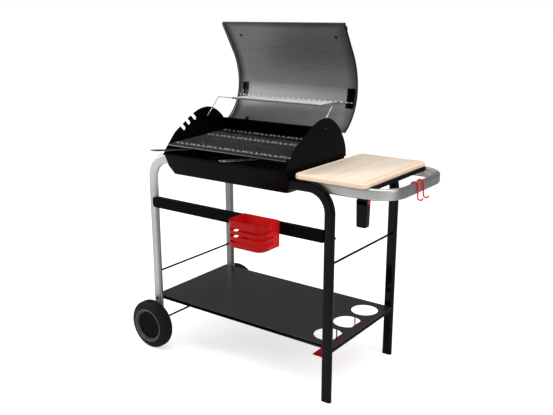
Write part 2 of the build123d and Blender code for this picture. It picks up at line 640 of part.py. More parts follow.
LID_GRIP_ALONG = 73.0
LID_GRIP_OUT = 56.0
LID_GRIP_R = 12.5
LID_GRIP_PAST = 15.0
LID_POST_R = 8.0
LID_SCREW_X = (-252.0, 196.0)
LID_BEAD_R = 3.0
LID_SPOTS = [((x, *on_flat(LID_GRIP_ALONG, 0)), (0, out_y, out_z)) for x in LID_SCREW_X]
LID_SHANK = 22.0
with BuildPart() as lid_shell:
    add(lid_skin(0, LID_SHEET, LID_X0, LID_X1))
    add(lid_skin(-HEM, LID_SHEET, LID_X0, LID_X0 + LID_SHEET))
    add(lid_skin(-HEM, LID_SHEET, LID_X1 - LID_SHEET, LID_X1))
    add(x_rod(*on_flat(FLAT_LEN, 0), LID_X0, LID_X1, LID_BEAD_R))
    add(bores(LID_SPOTS, LID_SHANK), mode=Mode.SUBTRACT)

grip = on_flat(LID_GRIP_ALONG, LID_GRIP_OUT)
with BuildPart() as lid_handle:
    add(x_rod(*grip, LID_SCREW_X[0] - LID_GRIP_PAST, LID_SCREW_X[1] + LID_GRIP_PAST, LID_GRIP_R))
    fillet(lid_handle.edges().filter_by(GeomType.CIRCLE), LID_GRIP_R / 3)

with BuildPart() as lid_handle_posts:
    for x in LID_SCREW_X:
        add(rod((x, *on_flat(LID_GRIP_ALONG, LID_SHEET)), (0, out_y, out_z), LID_GRIP_OUT - LID_SHEET,
                LID_POST_R))
    add(x_rod(*grip, LID_X0, LID_X1, LID_GRIP_R), mode=Mode.SUBTRACT)
    add(bores(LID_SPOTS, LID_SHANK), mode=Mode.SUBTRACT)

# hinges: the fixed leaf lies on the rear panel, the moving leaf on the lid's inner face
HINGE_X = (-230.0, 160.0)
HINGE_HALF = 20.0
MIDDLE_HALF = 8.0
KNUCKLE_GAP = 0.3
FIXED_LEAF = [(119.0, 884.0), (106.0, 902.0), (109.5, 907.0), (113.5, 903.0), (118.0, 900.2),
              (124.0, 902.9), (124.5, 900.5), (119.5, 896.5), (121.5, 886.0)]
with BuildPart() as hinge_fixed_leaves:
    for x in HINGE_X:
        add(prism(FIXED_LEAF, x - HINGE_HALF, x + HINGE_HALF))
        add(x_rod(HINGE_Y, HINGE_Z, x - HINGE_HALF, x + HINGE_HALF, KNUCKLE_R))
        add(x_rod(HINGE_Y, HINGE_Z, x - MIDDLE_HALF - KNUCKLE_GAP, x + MIDDLE_HALF + KNUCKLE_GAP,
                  KNUCKLE_R + 0.6), mode=Mode.SUBTRACT)
        add(x_rod(HINGE_Y, HINGE_Z, x - HINGE_HALF, x + HINGE_HALF, PIN_R + RUN_FIT), mode=Mode.SUBTRACT)

with BuildPart() as hinge_pins:
    for x in HINGE_X:
        add(x_rod(HINGE_Y, HINGE_Z, x - HINGE_HALF - 1, x + HINGE_HALF + 1, PIN_R))

with BuildPart() as hinge_lid_leaves:
    for x in HINGE_X:
        add(x_rod(HINGE_Y, HINGE_Z, x - MIDDLE_HALF, x + MIDDLE_HALF, KNUCKLE_R))
        add(prism([(112.7, 908.9), (112.7, 903.6), (121.2, 903.6), (123.0, 906.0), (121.0, 908.9)],
                  x - MIDDLE_HALF, x + MIDDLE_HALF))
        add(band(LOW_ARC, 2.0, LOW_START + 0.5, LOW_START + 9, x - MIDDLE_HALF, x + MIDDLE_HALF))
        add(x_rod(HINGE_Y, HINGE_Z, x - HINGE_HALF, x + HINGE_HALF, PIN_R + RUN_FIT), mode=Mode.SUBTRACT)
    add(lid_skin(0, 4, LID_X0, LID_X1), mode=Mode.SUBTRACT)

# ---------------------------------------------------------------- warming rack and its brackets
BRACKET_SHEET = 2.0
SLOT_DROP = 0.8                     # the rear bar swings this much nearer the curve's centre
SLOT_R = hypot(BAR_Y - low_y, BAR_Z - low_z) - SLOT_DROP
SLOT_HALF = 4.6
SLOT_START, SLOT_END = -21.0, -11.5
BRACKET_EDGE = 2.1
BRACKET_DEEP = low_r - SLOT_R + SLOT_HALF + BRACKET_EDGE
BRACKET_START, BRACKET_END = -23.8, 0.0
BRACKET_FOOT = 18.0
LEFT_WEB_X = BOX_X0 + 28.0
RIGHT_WEB_X = BOX_X1 - 26.0


def rack_bracket(web_x, x0, x1):
    """A bracket on the lid's inner face: a curved foot and a slotted web for the rack's rear bar."""
    with BuildPart() as bracket:
        add(band(LOW_ARC, BRACKET_SHEET, BRACKET_START, BRACKET_END, x0, x1))
        add(band(LOW_ARC, BRACKET_DEEP, BRACKET_START, BRACKET_END, web_x, web_x + BRACKET_SHEET))
        add(band((low_y, low_z, SLOT_R + SLOT_HALF), 2 * SLOT_HALF, SLOT_START, SLOT_END,
                 web_x - 1, web_x + BRACKET_SHEET + 1), mode=Mode.SUBTRACT)
        for angle in (SLOT_START, SLOT_END):
            end_y = low_y + SLOT_R * cos(radians(angle))
            end_z = low_z + SLOT_R * sin(radians(angle))
            add(x_rod(end_y, end_z, web_x - 1, web_x + BRACKET_SHEET + 1, SLOT_HALF), mode=Mode.SUBTRACT)
    return bracket.part


with BuildPart() as left_rack_bracket:
    add(rack_bracket(LEFT_WEB_X, LEFT_WEB_X, LEFT_WEB_X + BRACKET_FOOT))

with BuildPart() as right_rack_bracket:
    add(rack_bracket(RIGHT_WEB_X, RIGHT_WEB_X + BRACKET_SHEET - BRACKET_FOOT, RIGHT_WEB_X + BRACKET_FOOT))

BAIL_X0, BAIL_X1 = BOX_X0 + 8.0, BOX_X1 - 18.0
BAIL_PAST = 2.0
BAIL_BEND = 4.0
with BuildPart() as rack_bail:
    add(wire([(BOX_X0 - BAIL_PAST, BAIL_Y, BAIL_Z), (BAIL_X0, BAIL_Y, BAIL_Z), (BAIL_X0, RACK_Y, RACK_Z),
              (BAIL_X1, RACK_Y, RACK_Z), (BAIL_X1, BAIL_Y, BAIL_Z), (BOX_X1 + BAIL_PAST, BAIL_Y, BAIL_Z)],
             BAIL_BEND, BAIL_R))

RACK_X0 = -235.0
RACK_PITCH = 12.5
RACK_WIRES = 33
RACK_WIRE_R = 1.5
RACK_MID_R = 2.0
RACK_MID_IN = 25.0
RACK_PAST = 4.0
EYE_R = BAIL_R + WIRE_FIT + RACK_WIRE_R
with BuildPart() as warming_rack:
    add(x_rod(BAR_Y, BAR_Z, BOX_X0 + 15, BOX_X1 - 10, BAIL_R))
    add(x_rod(RACK_Y + RACK_MID_IN, RACK_Z - 2.5, RACK_X0 - RACK_PAST,
              RACK_X0 + (RACK_WIRES - 1) * RACK_PITCH + RACK_PAST, RACK_MID_R))
    for i in range(RACK_WIRES):
        x = RACK_X0 + i * RACK_PITCH
        add(y_rod(x, BAR_Z, RACK_Y + EYE_R, BAR_Y, RACK_WIRE_R))
        with Locations(Location((MID_X + x, MID_Y + RACK_Y, RACK_Z), (0, 90, 0))):
            Torus(EYE_R, RACK_WIRE_R)

# ---------------------------------------------------------------- basket on the front rail
BASKET_X0, BASKET_X1 = 57.0, 212.0
BASKET_Y0 = -350.0
BASKET_Y1 = RAIL_FRONT
BASKET_Z0, BASKET_Z1 = 547.0, 643.0
BASKET_R = 30.0
BASKET_SLOTS = (564.0, 586.0, 608.0)
BASKET_SLOT_HIGH = 9.0


def basket_block(inset, z0, z1):
    """The basket's outline, drawn in by the inset: square at the rail, rounded in front."""
    with BuildPart() as block:
        with BuildSketch(TOP.offset(z0)) as outline:
            with Locations(((BASKET_X0 + BASKET_X1) / 2, (BASKET_Y0 + BASKET_Y1) / 2)):
                Rectangle(BASKET_X1 - BASKET_X0 - 2 * inset, BASKET_Y1 - BASKET_Y0 - 2 * inset)
            fillet(outline.vertices().group_by(Axis.Y)[0], BASKET_R - inset)
        extrude(amount=z1 - z0)
    return block.part


TAB_WIDE = 22.0
TAB_DROP = 18.0
SLOT_CUT = 70.0
RIB_X = (126.0, 129.0)
TAB_Y = RAIL_BACK + WIRE_FIT
HOOK_TABS = ((BASKET_X0 + 17, BASKET_X0 + 17 + TAB_WIDE), (BASKET_X1 - 17 - TAB_WIDE, BASKET_X1 - 17))
with BuildPart() as basket:
    add(basket_block(0, BASKET_Z0, BASKET_Z1))
    add(basket_block(SHEET, BASKET_Z0 + SHEET, BASKET_Z1), mode=Mode.SUBTRACT)
    for z in BASKET_SLOTS:
        add(box(BASKET_X0 - 1, BASKET_X1 + 1, BASKET_Y0 - 1, BASKET_Y0 + SLOT_CUT, z, z + BASKET_SLOT_HIGH),
            mode=Mode.SUBTRACT)
    for z in BASKET_SLOTS:
        add(box(*RIB_X, BASKET_Y0, BASKET_Y0 + SHEET, z, z + BASKET_SLOT_HIGH))
    for x0, x1 in HOOK_TABS:
        add(box(x0, x1, BASKET_Y1 - SHEET, TAB_Y + SHEET, RAIL_Z1, RAIL_Z1 + SHEET))
        add(box(x0, x1, TAB_Y, TAB_Y + SHEET, RAIL_Z1 - TAB_DROP, RAIL_Z1))

# ---------------------------------------------------------------- S-hooks, cap catcher and opener
HANDLE_TOP = RIGHT_ARCH_Z + TUBE_LONG / 2
HOOK_TOP = HANDLE_TOP - (HOOK_LOOP - HOOK_R)
HOOK_TAIL = 12.0
CURL_Z = HOOK_TOP - HOOK_DROP
FRONT_HOOK_Y, REAR_HOOK_Y = -51.5, -7.0


def s_hook(y):
    """An S-hook of round wire hung over the handle's outer run."""
    with BuildPart() as hook:
        with BuildLine(FRONT.offset(-y)) as path:
            Line((HANDLE_MID - HOOK_LOOP, HOOK_TOP - HOOK_TAIL), (HANDLE_MID - HOOK_LOOP, HOOK_TOP))
            CenterArc((HANDLE_MID, HOOK_TOP), HOOK_LOOP, 180, -180)
            Line((HANDLE_MID + HOOK_LOOP, HOOK_TOP), (HANDLE_MID + HOOK_LOOP, CURL_Z))
            CenterArc((HANDLE_MID + HOOK_LOOP + HOOK_CURL, CURL_Z), HOOK_CURL, 180, CURL_TURN)
        with BuildSketch(TOP.offset(HOOK_TOP - HOOK_TAIL)):
            with Locations((HANDLE_MID - HOOK_LOOP, y)):
                Circle(HOOK_R)
        sweep(path=path.line)
    return hook.part


with BuildPart() as front_hook:
    add(s_hook(FRONT_HOOK_Y))
with BuildPart() as rear_hook:
    add(s_hook(REAR_HOOK_Y))

CATCHER_X0, CATCHER_X1 = 503.0, 544.0
CATCHER_TAPER = 2.5
CATCHER_DEEP = 21.0
CATCHER_Y1 = -LEG_IN + TUBE_SHORT
CATCHER_Y0 = CATCHER_Y1 - CATCHER_DEEP
CATCHER_Z0 = 665.0
CATCHER_Z1 = RIGHT_ARCH_Z - TUBE_LONG / 2
CATCHER_ROUND = 5.0
CATCHER_WALL = 2.0
MOUTH_IN, MOUTH_HIGH = 4.0, 14.0
with BuildPart() as cap_catcher:
    with BuildSketch(FRONT.offset(-CATCHER_Y1)) as face:
        with BuildLine():
            Polyline((CATCHER_X0, CATCHER_Z1), (CATCHER_X1, CATCHER_Z1),
                     (CATCHER_X1 - CATCHER_TAPER, CATCHER_Z0), (CATCHER_X0 + CATCHER_TAPER, CATCHER_Z0),
                     close=True)
        make_face()
        fillet(face.vertices().group_by(Axis.Y)[0], CATCHER_ROUND)
    extrude(amount=CATCHER_DEEP)
    add(box(CATCHER_X0 + CATCHER_TAPER + CATCHER_WALL, CATCHER_X1 - CATCHER_TAPER - CATCHER_WALL,
            CATCHER_Y0 + CATCHER_WALL, CATCHER_Y1 - CATCHER_WALL, CATCHER_Z0 + CATCHER_ROUND,
            CATCHER_Z1 - CATCHER_WALL), mode=Mode.SUBTRACT)
    add(box(CATCHER_X0 + MOUTH_IN, CATCHER_X1 - MOUTH_IN, CATCHER_Y0, CATCHER_Y0 + CATCHER_WALL,
            CATCHER_Z1 - CATCHER_WALL - MOUTH_HIGH, CATCHER_Z1 - CATCHER_WALL), mode=Mode.SUBTRACT)

OPENER_R = 6.5
OPENER_OUT = 3.5
with BuildPart() as bottle_opener:
    add(rod((CATCHER_X1, CATCHER_Y0 + OPENER_R, CATCHER_Z1 - OPENER_R), (1, 0, 0), OPENER_OUT, OPENER_R))

# ---------------------------------------------------------------- screws
with BuildPart() as trolley_screws:
    add(screws(SHELF_SPOTS, SHELF_SHANK))
    add(screws(RAIL_SPOTS, RAIL_SHANK))

with BuildPart() as box_screws:
    add(screws(BOX_SPOTS, BOX_SHANK))

with BuildPart() as table_screws:
    add(screws(TABLE_SPOTS, TABLE_SHANK))
    add(screws(BAR_SPOTS, BAR_SHANK))

with BuildPart() as lid_screws:
    add(screws(LID_SPOTS, LID_SHANK))

# ---------------------------------------------------------------- one file for each piece
PIECES = {
    "front_left_leg": front_left_leg, "rear_left_leg": rear_left_leg,
    "front_right_leg": front_right_leg, "rear_right_leg": rear_right_leg, "leg_feet": leg_feet,
    "left_side_rail": left_side_rail, "right_side_rail": right_side_rail, "front_rail": front_rail,
    "left_brace": left_brace, "right_brace": right_brace, "shelf": shelf,
    "bottle_tray": bottle_tray, "tray_hangers": tray_hangers, "axle": axle,
    "axle_spacers": axle_spacers, "axle_clips": axle_clips, "front_tyre": front_tyre,
    "rear_tyre": rear_tyre, "front_wheel_hub": front_wheel_hub, "rear_wheel_hub": rear_wheel_hub,
    "front_hub_disc": front_hub_disc, "rear_hub_disc": rear_hub_disc, "side_handle": side_handle,
    "table_crossbars": table_crossbars, "cutting_board": cutting_board, "firebox": firebox,
    "rear_panel": rear_panel, "left_cheek": left_cheek, "right_cheek": right_cheek,
    "grate_ledges": grate_ledges, "cooking_grate": cooking_grate, "grate_handles": grate_handles,
    "charcoal_grate": charcoal_grate, "lid_shell": lid_shell, "lid_handle": lid_handle,
    "lid_handle_posts": lid_handle_posts, "hinge_fixed_leaves": hinge_fixed_leaves,
    "hinge_pins": hinge_pins, "hinge_lid_leaves": hinge_lid_leaves,
    "left_rack_bracket": left_rack_bracket, "right_rack_bracket": right_rack_bracket,
    "rack_bail": rack_bail, "warming_rack": warming_rack, "basket": basket,
    "front_hook": front_hook, "rear_hook": rear_hook, "cap_catcher": cap_catcher,
    "bottle_opener": bottle_opener, "trolley_screws": trolley_screws, "box_screws": box_screws,
    "table_screws": table_screws, "lid_screws": lid_screws,
}
for name, piece in PIECES.items():
    piece.part.label = name
    export_step(piece.part, f"parts/{name}.step")
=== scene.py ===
# %% [markdown]
# # A charcoal trolley barbecue
# The solid pieces come from the CAD frame, already in place and riding on their moving bodies.
# This notebook gives each one its finish, and models the pieces whose soft edges or small details
# read better as meshes: the wheels, the cutting board and the screw heads.

# %% Load the frame
import math

import bmesh
import bpy
from mathutils import Matrix, Vector


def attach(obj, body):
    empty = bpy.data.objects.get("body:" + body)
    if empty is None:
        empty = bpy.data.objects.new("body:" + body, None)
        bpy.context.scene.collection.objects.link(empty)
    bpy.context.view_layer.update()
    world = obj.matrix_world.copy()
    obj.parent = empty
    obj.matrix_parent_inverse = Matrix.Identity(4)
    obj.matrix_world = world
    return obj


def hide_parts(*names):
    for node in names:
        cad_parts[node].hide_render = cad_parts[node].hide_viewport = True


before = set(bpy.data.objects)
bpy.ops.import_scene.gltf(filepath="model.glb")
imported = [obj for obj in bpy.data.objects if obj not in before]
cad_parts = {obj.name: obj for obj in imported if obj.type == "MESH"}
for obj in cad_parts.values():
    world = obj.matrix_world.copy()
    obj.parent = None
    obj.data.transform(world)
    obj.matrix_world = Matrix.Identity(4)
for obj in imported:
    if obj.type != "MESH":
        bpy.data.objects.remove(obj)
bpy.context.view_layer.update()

# %% [markdown]
# The trolley's middle isn't the middle of the whole object, because the handle and the hooks reach
# further than the wheels. Places given to `at` are millimetres from the middle of the four legs,
# and it turns them into the frame's metres. A size in a finish is in metres already.

# %% Places
MID_X, MID_Y = -74.48, 61.5


def at(x, y, z):
    """A place from the middle of the trolley's legs, as a vector in metres."""
    return Vector(((x + MID_X) / 1000, (y + MID_Y) / 1000, z / 1000))


print("trolley middle", at(0, 0, 0))

# %% [markdown]
# ## Shared effects
# Powder coat, plastic and plate never have one even colour. Small effects are built once as node
# groups and used in many finishes: a fine orange-peel skin, drawn-out brushing lines, and the
# faint smudges that handling leaves.

# %% Node group helpers


def new_group(name, inputs, outputs):
    """An empty shader group with float inputs and float outputs."""
    group = bpy.data.node_groups.new(name, "ShaderNodeTree")
    for label, value in inputs:
        socket = group.interface.new_socket(label, in_out="INPUT", socket_type="NodeSocketFloat")
        socket.default_value = value
    for label in outputs:
        group.interface.new_socket(label, in_out="OUTPUT", socket_type="NodeSocketFloat")
    return group, group.nodes.new("NodeGroupInput"), group.nodes.new("NodeGroupOutput")


def math_node(tree, operation, first, second=None):
    """One Math node; each operand is a socket or a number."""
    node = tree.nodes.new("ShaderNodeMath")
    node.operation = operation
    for slot, operand in ((0, first), (1, second)):
        if operand is None:
            continue
        if isinstance(operand, (int, float)):
            node.inputs[slot].default_value = operand
        else:
            tree.links.new(operand, node.inputs[slot])
    return node.outputs[0]


def times(tree, first, second):
    return math_node(tree, "MULTIPLY", first, second)


def plus(tree, first, second):
    return math_node(tree, "ADD", first, second)


def minus(tree, first, second):
    return math_node(tree, "SUBTRACT", first, second)


def larger(tree, first, second):
    return math_node(tree, "MAXIMUM", first, second)


def over(tree, value, limit):
    """1 where the value is over the limit, otherwise 0."""
    return math_node(tree, "GREATER_THAN", value, limit)


def under(tree, value, limit):
    """1 where the value is under the limit, otherwise 0."""
    return math_node(tree, "LESS_THAN", value, limit)


def gap_from(tree, value, place):
    """How far the value lies from a place, on either side."""
    return math_node(tree, "ABSOLUTE", minus(tree, value, place))


def length_of(tree, first, second):
    """The length of a step with these two parts at a right angle."""
    square = plus(tree, times(tree, first, first), times(tree, second, second))
    return math_node(tree, "SQRT", square)


def wave_along(tree, value, pitch):
    """A sine that repeats once every pitch."""
    return math_node(tree, "SINE", times(tree, value, 2 * math.pi / pitch))


def object_coordinates(tree):
    return tree.nodes.new("ShaderNodeTexCoord").outputs["Object"]


def noise(tree, vector, scale, detail=3.0, roughness=0.5):
    node = tree.nodes.new("ShaderNodeTexNoise")
    tree.links.new(vector, node.inputs["Vector"])
    if isinstance(scale, (int, float)):
        node.inputs["Scale"].default_value = scale
    else:
        tree.links.new(scale, node.inputs["Scale"])
    node.inputs["Detail"].default_value = detail
    node.inputs["Roughness"].default_value = roughness
    return node.outputs["Fac"]


# %% [markdown]
# The orange-peel skin is a fine noise. It goes into the bump, and a little of it into the
# roughness, because light catches the tops of the grains.

# %% Skin, smudge and brushed groups
skin_group, g_in, g_out = new_group("coat_skin", [("Grain Scale", 900.0)], ["Height", "Mask"])
coords = object_coordinates(skin_group)
skin_group.links.new(noise(skin_group, coords, g_in.outputs[0], 2.0), g_out.inputs["Height"])
skin_group.links.new(noise(skin_group, coords, 14.0, 3.0), g_out.inputs["Mask"])

smudge_group, g_in, g_out = new_group("hand_smudge", [("Amount", 1.0)], ["Mask"])
coords = object_coordinates(smudge_group)
soft = noise(smudge_group, coords, 6.0, 5.0, 0.6)
centred = minus(smudge_group, soft, 0.5)
smudge_group.links.new(times(smudge_group, centred, g_in.outputs[0]), g_out.inputs["Mask"])

brushed_group, g_in, g_out = new_group("brushed_lines", [("Fineness", 500.0)], ["Height", "Mask"])
coords = object_coordinates(brushed_group)
stretch = brushed_group.nodes.new("ShaderNodeMapping")
stretch.inputs["Scale"].default_value = (0.02, 1.0, 1.0)
brushed_group.links.new(coords, stretch.inputs["Vector"])
lines = noise(brushed_group, stretch.outputs[0], g_in.outputs[0], 3.0)
brushed_group.links.new(lines, g_out.inputs["Height"])
brushed_group.links.new(lines, g_out.inputs["Mask"])
print("groups", [g.name for g in bpy.data.node_groups])

# %% [markdown]
# ## Finishes
# Each finish is one Principled shader. Its colour drifts a little between two close tones, its
# roughness follows the skin and the smudges, and a Bump node carries the skin.

# %% Finish helpers


def group_node(tree, group, **values):
    node = tree.nodes.new("ShaderNodeGroup")
    node.node_tree = group
    for label, value in values.items():
        node.inputs[label.replace("_", " ")].default_value = value
    return node


def colour_between(tree, mask, dark, light):
    """A colour that runs from dark to light with the mask."""
    ramp = tree.nodes.new("ShaderNodeValToRGB")
    ramp.color_ramp.elements[0].position = 0.35
    ramp.color_ramp.elements[0].color = (*dark, 1)
    ramp.color_ramp.elements[1].position = 0.65
    ramp.color_ramp.elements[1].color = (*light, 1)
    tree.links.new(mask, ramp.inputs[0])
    return ramp.outputs[0]


def fade(tree, value, start, end):
    """A smooth 0 to 1 as the value goes from start to end."""
    node = tree.nodes.new("ShaderNodeMapRange")
    node.interpolation_type = "SMOOTHSTEP"
    tree.links.new(value, node.inputs["Value"])
    node.inputs["From Min"].default_value = start
    node.inputs["From Max"].default_value = end
    return node.outputs["Result"]


def blend(tree, mask, first, second):
    """Two colours or colour sockets mixed by a mask."""
    mix = tree.nodes.new("ShaderNodeMix")
    mix.data_type = "RGBA"
    tree.links.new(mask, mix.inputs["Factor"])
    for label, colour in (("A", first), ("B", second)):
        if isinstance(colour, tuple):
            mix.inputs[label].default_value = (*colour, 1)
        else:
            tree.links.new(colour, mix.inputs[label])
    return mix.outputs["Result"]


def object_axes(tree):
    split = tree.nodes.new("ShaderNodeSeparateXYZ")
    tree.links.new(object_coordinates(tree), split.inputs[0])
    return split.outputs["X"], split.outputs["Y"], split.outputs["Z"]


def within(tree, value, centre, half):
    """1 where the value lies closer to the centre than half."""
    gap = gap_from(tree, value, centre)
    return under(tree, gap, half)


def blank_finish(name, metallic, specular=0.5):
    """A material with its Principled shader, and the tree that the finish is wired in."""
    material = bpy.data.materials.new(name)
    material.use_nodes = True
    tree = material.node_tree
    shader = tree.nodes["Principled BSDF"]
    shader.inputs["Metallic"].default_value = metallic
    shader.inputs["Specular IOR Level"].default_value = specular
    return material, tree, shader


def wire_finish(tree, shader, colour, rough, rough_mask, swing, height, bump, distance=0.0002):
    """Feeds the colour, the varied roughness and the bump into the shader."""
    tree.links.new(colour, shader.inputs["Base Color"])
    varied = times(tree, rough_mask, swing)
    tree.links.new(plus(tree, varied, rough), shader.inputs["Roughness"])
    node = tree.nodes.new("ShaderNodeBump")
    node.inputs["Strength"].default_value = bump
    node.inputs["Distance"].default_value = distance
    tree.links.new(height, node.inputs["Height"])
    tree.links.new(node.outputs[0], shader.inputs["Normal"])


def coat_finish(name, dark, light, rough, metallic=0.0, grain=900.0, bump=0.25, specular=0.3):
    """Powder coat, plastic or paint: a fine skin over a colour that drifts slightly."""
    material, tree, shader = blank_finish(name, metallic, specular)
    skin = group_node(tree, skin_group, Grain_Scale=grain)
    smudge = group_node(tree, smudge_group, Amount=0.25)
    colour = colour_between(tree, skin.outputs["Mask"], dark, light)
    wire_finish(tree, shader, colour, rough, smudge.outputs["Mask"], 1.0, skin.outputs["Height"], bump)
    return material


# %% [markdown]
# The firebox and the rails have a black satin powder coat, the right legs a glossier one, and the
# left legs and the handle a satin silver one. The shelf is a greyer black; the tray, basket and
# hooks are red.

# %% Coats
black_coat = coat_finish("black_powder_coat", (0.0013, 0.0013, 0.0015), (0.0026, 0.0026, 0.0028), 0.34,
                         bump=0.15, specular=0.035)
leg_coat = coat_finish("gloss_black_coat", (0.0014, 0.0014, 0.0016), (0.0028, 0.0028, 0.003), 0.12,
                       specular=0.14, bump=0.06)
red_coat = coat_finish("red_powder_coat", (0.46, 0.004, 0.005), (0.56, 0.008, 0.008), 0.38, specular=0.15)
# Painted light: the basket's red is painted lighter towards the rail, and the front stays darker as painted
# shade.
BASKET_LIT_REAR = (at(0, -322, 0).y, at(0, -290, 0).y)      # the red lightens between these places


def basket_finish():
    """The basket's red, painted lighter towards the rail as painted light; the front keeps the darker red
    as painted shade from its own walls.
    """
    material, tree, shader = blank_finish("basket_red_painted_light", 0.0, 0.15)
    along = object_axes(tree)[1]
    skin = group_node(tree, skin_group, Grain_Scale=900.0)
    rear = fade(tree, along, *BASKET_LIT_REAR)
    colour = blend(tree, rear, (0.43, 0.005, 0.005), (0.74, 0.010, 0.008))
    wire_finish(tree, shader, colour, 0.38, skin.outputs["Mask"], 0.1, skin.outputs["Height"], 0.25)
    return material


basket_coat = basket_finish()
hook_coat = coat_finish("hook_red_coat", (0.84, 0.008, 0.004), (0.92, 0.012, 0.007), 0.5, specular=0.08)
black_plastic = coat_finish("black_plastic", (0.002, 0.002, 0.0023), (0.0045, 0.0045, 0.005), 0.42,
                            grain=1600.0, specular=0.12)
red_plastic = coat_finish("red_plastic", (0.66, 0.006, 0.006), (0.76, 0.010, 0.010), 0.3, specular=0.12)
coal_iron = coat_finish("scaled_iron", (0.003, 0.003, 0.003), (0.009, 0.008, 0.0075), 0.7, metallic=0.3,
                        bump=0.8, specular=0.1)
# The left rack bracket's greyer sheet is painted light: the like bracket on the right, in the lid's shaded
# side, keeps the black coat as painted shade.
lit_bracket_sheet = coat_finish("lit_bracket_sheet", (0.030, 0.030, 0.030), (0.075, 0.075, 0.076), 0.35,
                            metallic=0.7)
black_zinc = coat_finish("black_zinc", (0.004, 0.004, 0.004), (0.008, 0.008, 0.008), 0.35, metallic=0.6,
                         specular=0.1)
dark_screw = coat_finish("blackened_steel", (0.006, 0.006, 0.006), (0.012, 0.012, 0.012), 0.35,
                         metallic=0.4)
print("coats", len(bpy.data.materials))

# %% [markdown]
# The shelf's top is satin. Its folded edges are painted black as shade, painted greyer to the right as
# painted light, and a thin painted highlight runs along the fold.

# %% Shelf finish
TROLLEY = at(0, 0, 0)
SHELF_TOP = 0.210
SHELF_HALF = (0.430, 0.222)
TOP_SKIN = 0.0016           # what lies less than this below the top counts as the top
# The fold's lighter line is a painted highlight; the black near the fold and the grey to the right are
# painted shade and painted light.
FOLD_HIGHLIGHT_WIDTH = 0.0028          # the lighter line's width
FOLD_SHADE_DEPTH = 0.0070          # the fold's rounded part, which stays black
EDGE_PAINTED_LIGHT = (TROLLEY.x + 0.10, TROLLEY.x + 0.42)
TOP_GLOSS = 0.42


def shelf_finish():
    material, tree, shader = blank_finish("shelf_coat_painted_light", 0.0, 0.3)
    across, along, up = object_axes(tree)
    skin = group_node(tree, skin_group, Grain_Scale=1300.0)
    top = colour_between(tree, skin.outputs["Mask"], (0.0155, 0.0155, 0.0162), (0.0215, 0.0215, 0.0224))
    flat = over(tree, up, SHELF_TOP - TOP_SKIN)
    inside = times(tree, within(tree, across, TROLLEY.x, SHELF_HALF[0] - FOLD_HIGHLIGHT_WIDTH),
                   within(tree, along, TROLLEY.y, SHELF_HALF[1] - FOLD_HIGHLIGHT_WIDTH))
    # Painted highlight: a lighter line just inside the top's edge, along the fold.
    line = blend(tree, inside, (0.030, 0.030, 0.031), top)
    fold = over(tree, up, SHELF_TOP - FOLD_SHADE_DEPTH)
    right = fade(tree, across, *EDGE_PAINTED_LIGHT)
    # Painted shade: the folded edges are black, painted greyer to the right below the fold as painted
    # light.
    painted_edge_shade = blend(tree, times(tree, right, minus(tree, 1.0, fold)),
                     (0.0012, 0.0012, 0.0013), (0.028, 0.028, 0.029))
    wire_finish(tree, shader, blend(tree, flat, painted_edge_shade, line), 0.26, skin.outputs["Mask"], 0.06,
                skin.outputs["Height"], 0.25)
    tree.links.new(times(tree, flat, TOP_GLOSS), shader.inputs["Specular IOR Level"])
    return material


shelf_coat = shelf_finish()

# %% [markdown]
# The silver coat carries painted light and shade: it is painted lighter where the tubes bend at the top,
# and painted darker along the legs' rounded sides, on the rear leg and on the outer run of the handle.

# %% Silver finish
# Places of the silver coat's painted highlight and painted shade.
LEFT_LEG_X = TROLLEY.x - 0.410
BEND_HIGHLIGHT_HEIGHTS = (0.62, 0.74)                # heights between which the tubes turn lighter
BEND_HIGHLIGHT_LEFT = (TROLLEY.x + 0.1, TROLLEY.x - 0.1)
LEG_SIDE_SHADE = (0.006, 0.019)           # from the leg's middle line out to its rounded side
LEG_SIDE_SHADE_TOP = (0.70, 0.60)
HANDLE_OUTER_SHADE = (TROLLEY.x + 0.590, TROLLEY.x + 0.625)
HANDLE_CORNER_LIT = (0.205, 0.150)      # from the handle's middle: its corners keep the lighter tone
REAR_LEG_SHADE = (TROLLEY.y, TROLLEY.y + 0.2)
REAR_SHADE_LEFT_HALF = (TROLLEY.x, TROLLEY.x - 0.2)


def silver_finish():
    material, tree, shader = blank_finish("silver_coat_painted_light", 0.55, 0.3)
    across, along, up = object_axes(tree)
    skin = group_node(tree, skin_group, Grain_Scale=900.0)
    smudge = group_node(tree, smudge_group, Amount=0.25)
    colour = colour_between(tree, skin.outputs["Mask"], (0.47, 0.47, 0.465), (0.55, 0.55, 0.545))
    # Painted highlight where the tubes bend, strongest on the left.
    bend_highlight = plus(tree, 0.35, times(tree, fade(tree, across, *BEND_HIGHLIGHT_LEFT), 0.65))
    bend_highlight = times(tree, fade(tree, up, *BEND_HIGHLIGHT_HEIGHTS), bend_highlight)
    light = blend(tree, skin.outputs["Mask"], (0.60, 0.60, 0.595), (0.72, 0.72, 0.715))
    colour = blend(tree, bend_highlight, colour, light)
    # Painted shade on the left legs' rounded sides, on the handle's outer run and on the rear leg.
    side = times(tree, fade(tree, gap_from(tree, across, LEFT_LEG_X), *LEG_SIDE_SHADE),
                 fade(tree, up, *LEG_SIDE_SHADE_TOP))
    handle_shade = times(tree, fade(tree, across, *HANDLE_OUTER_SHADE),
                  fade(tree, gap_from(tree, along, TROLLEY.y), *HANDLE_CORNER_LIT))
    rear = times(tree, fade(tree, along, *REAR_LEG_SHADE), times(tree, fade(tree, across, *REAR_SHADE_LEFT_HALF), 0.8))
    shade = larger(tree, larger(tree, times(tree, side, 0.66), times(tree, handle_shade, 0.82)), rear)
    colour = blend(tree, shade, colour, (0.16, 0.16, 0.158))
    wire_finish(tree, shader, colour, 0.33, smudge.outputs["Mask"], 1.0, skin.outputs["Height"], 0.25)
    return material


silver_coat = silver_finish()

# %% [markdown]
# The wheel's plastic is one piece to the eye: its rim is painted lighter as painted light, round a sunken
# middle painted dark as shade.

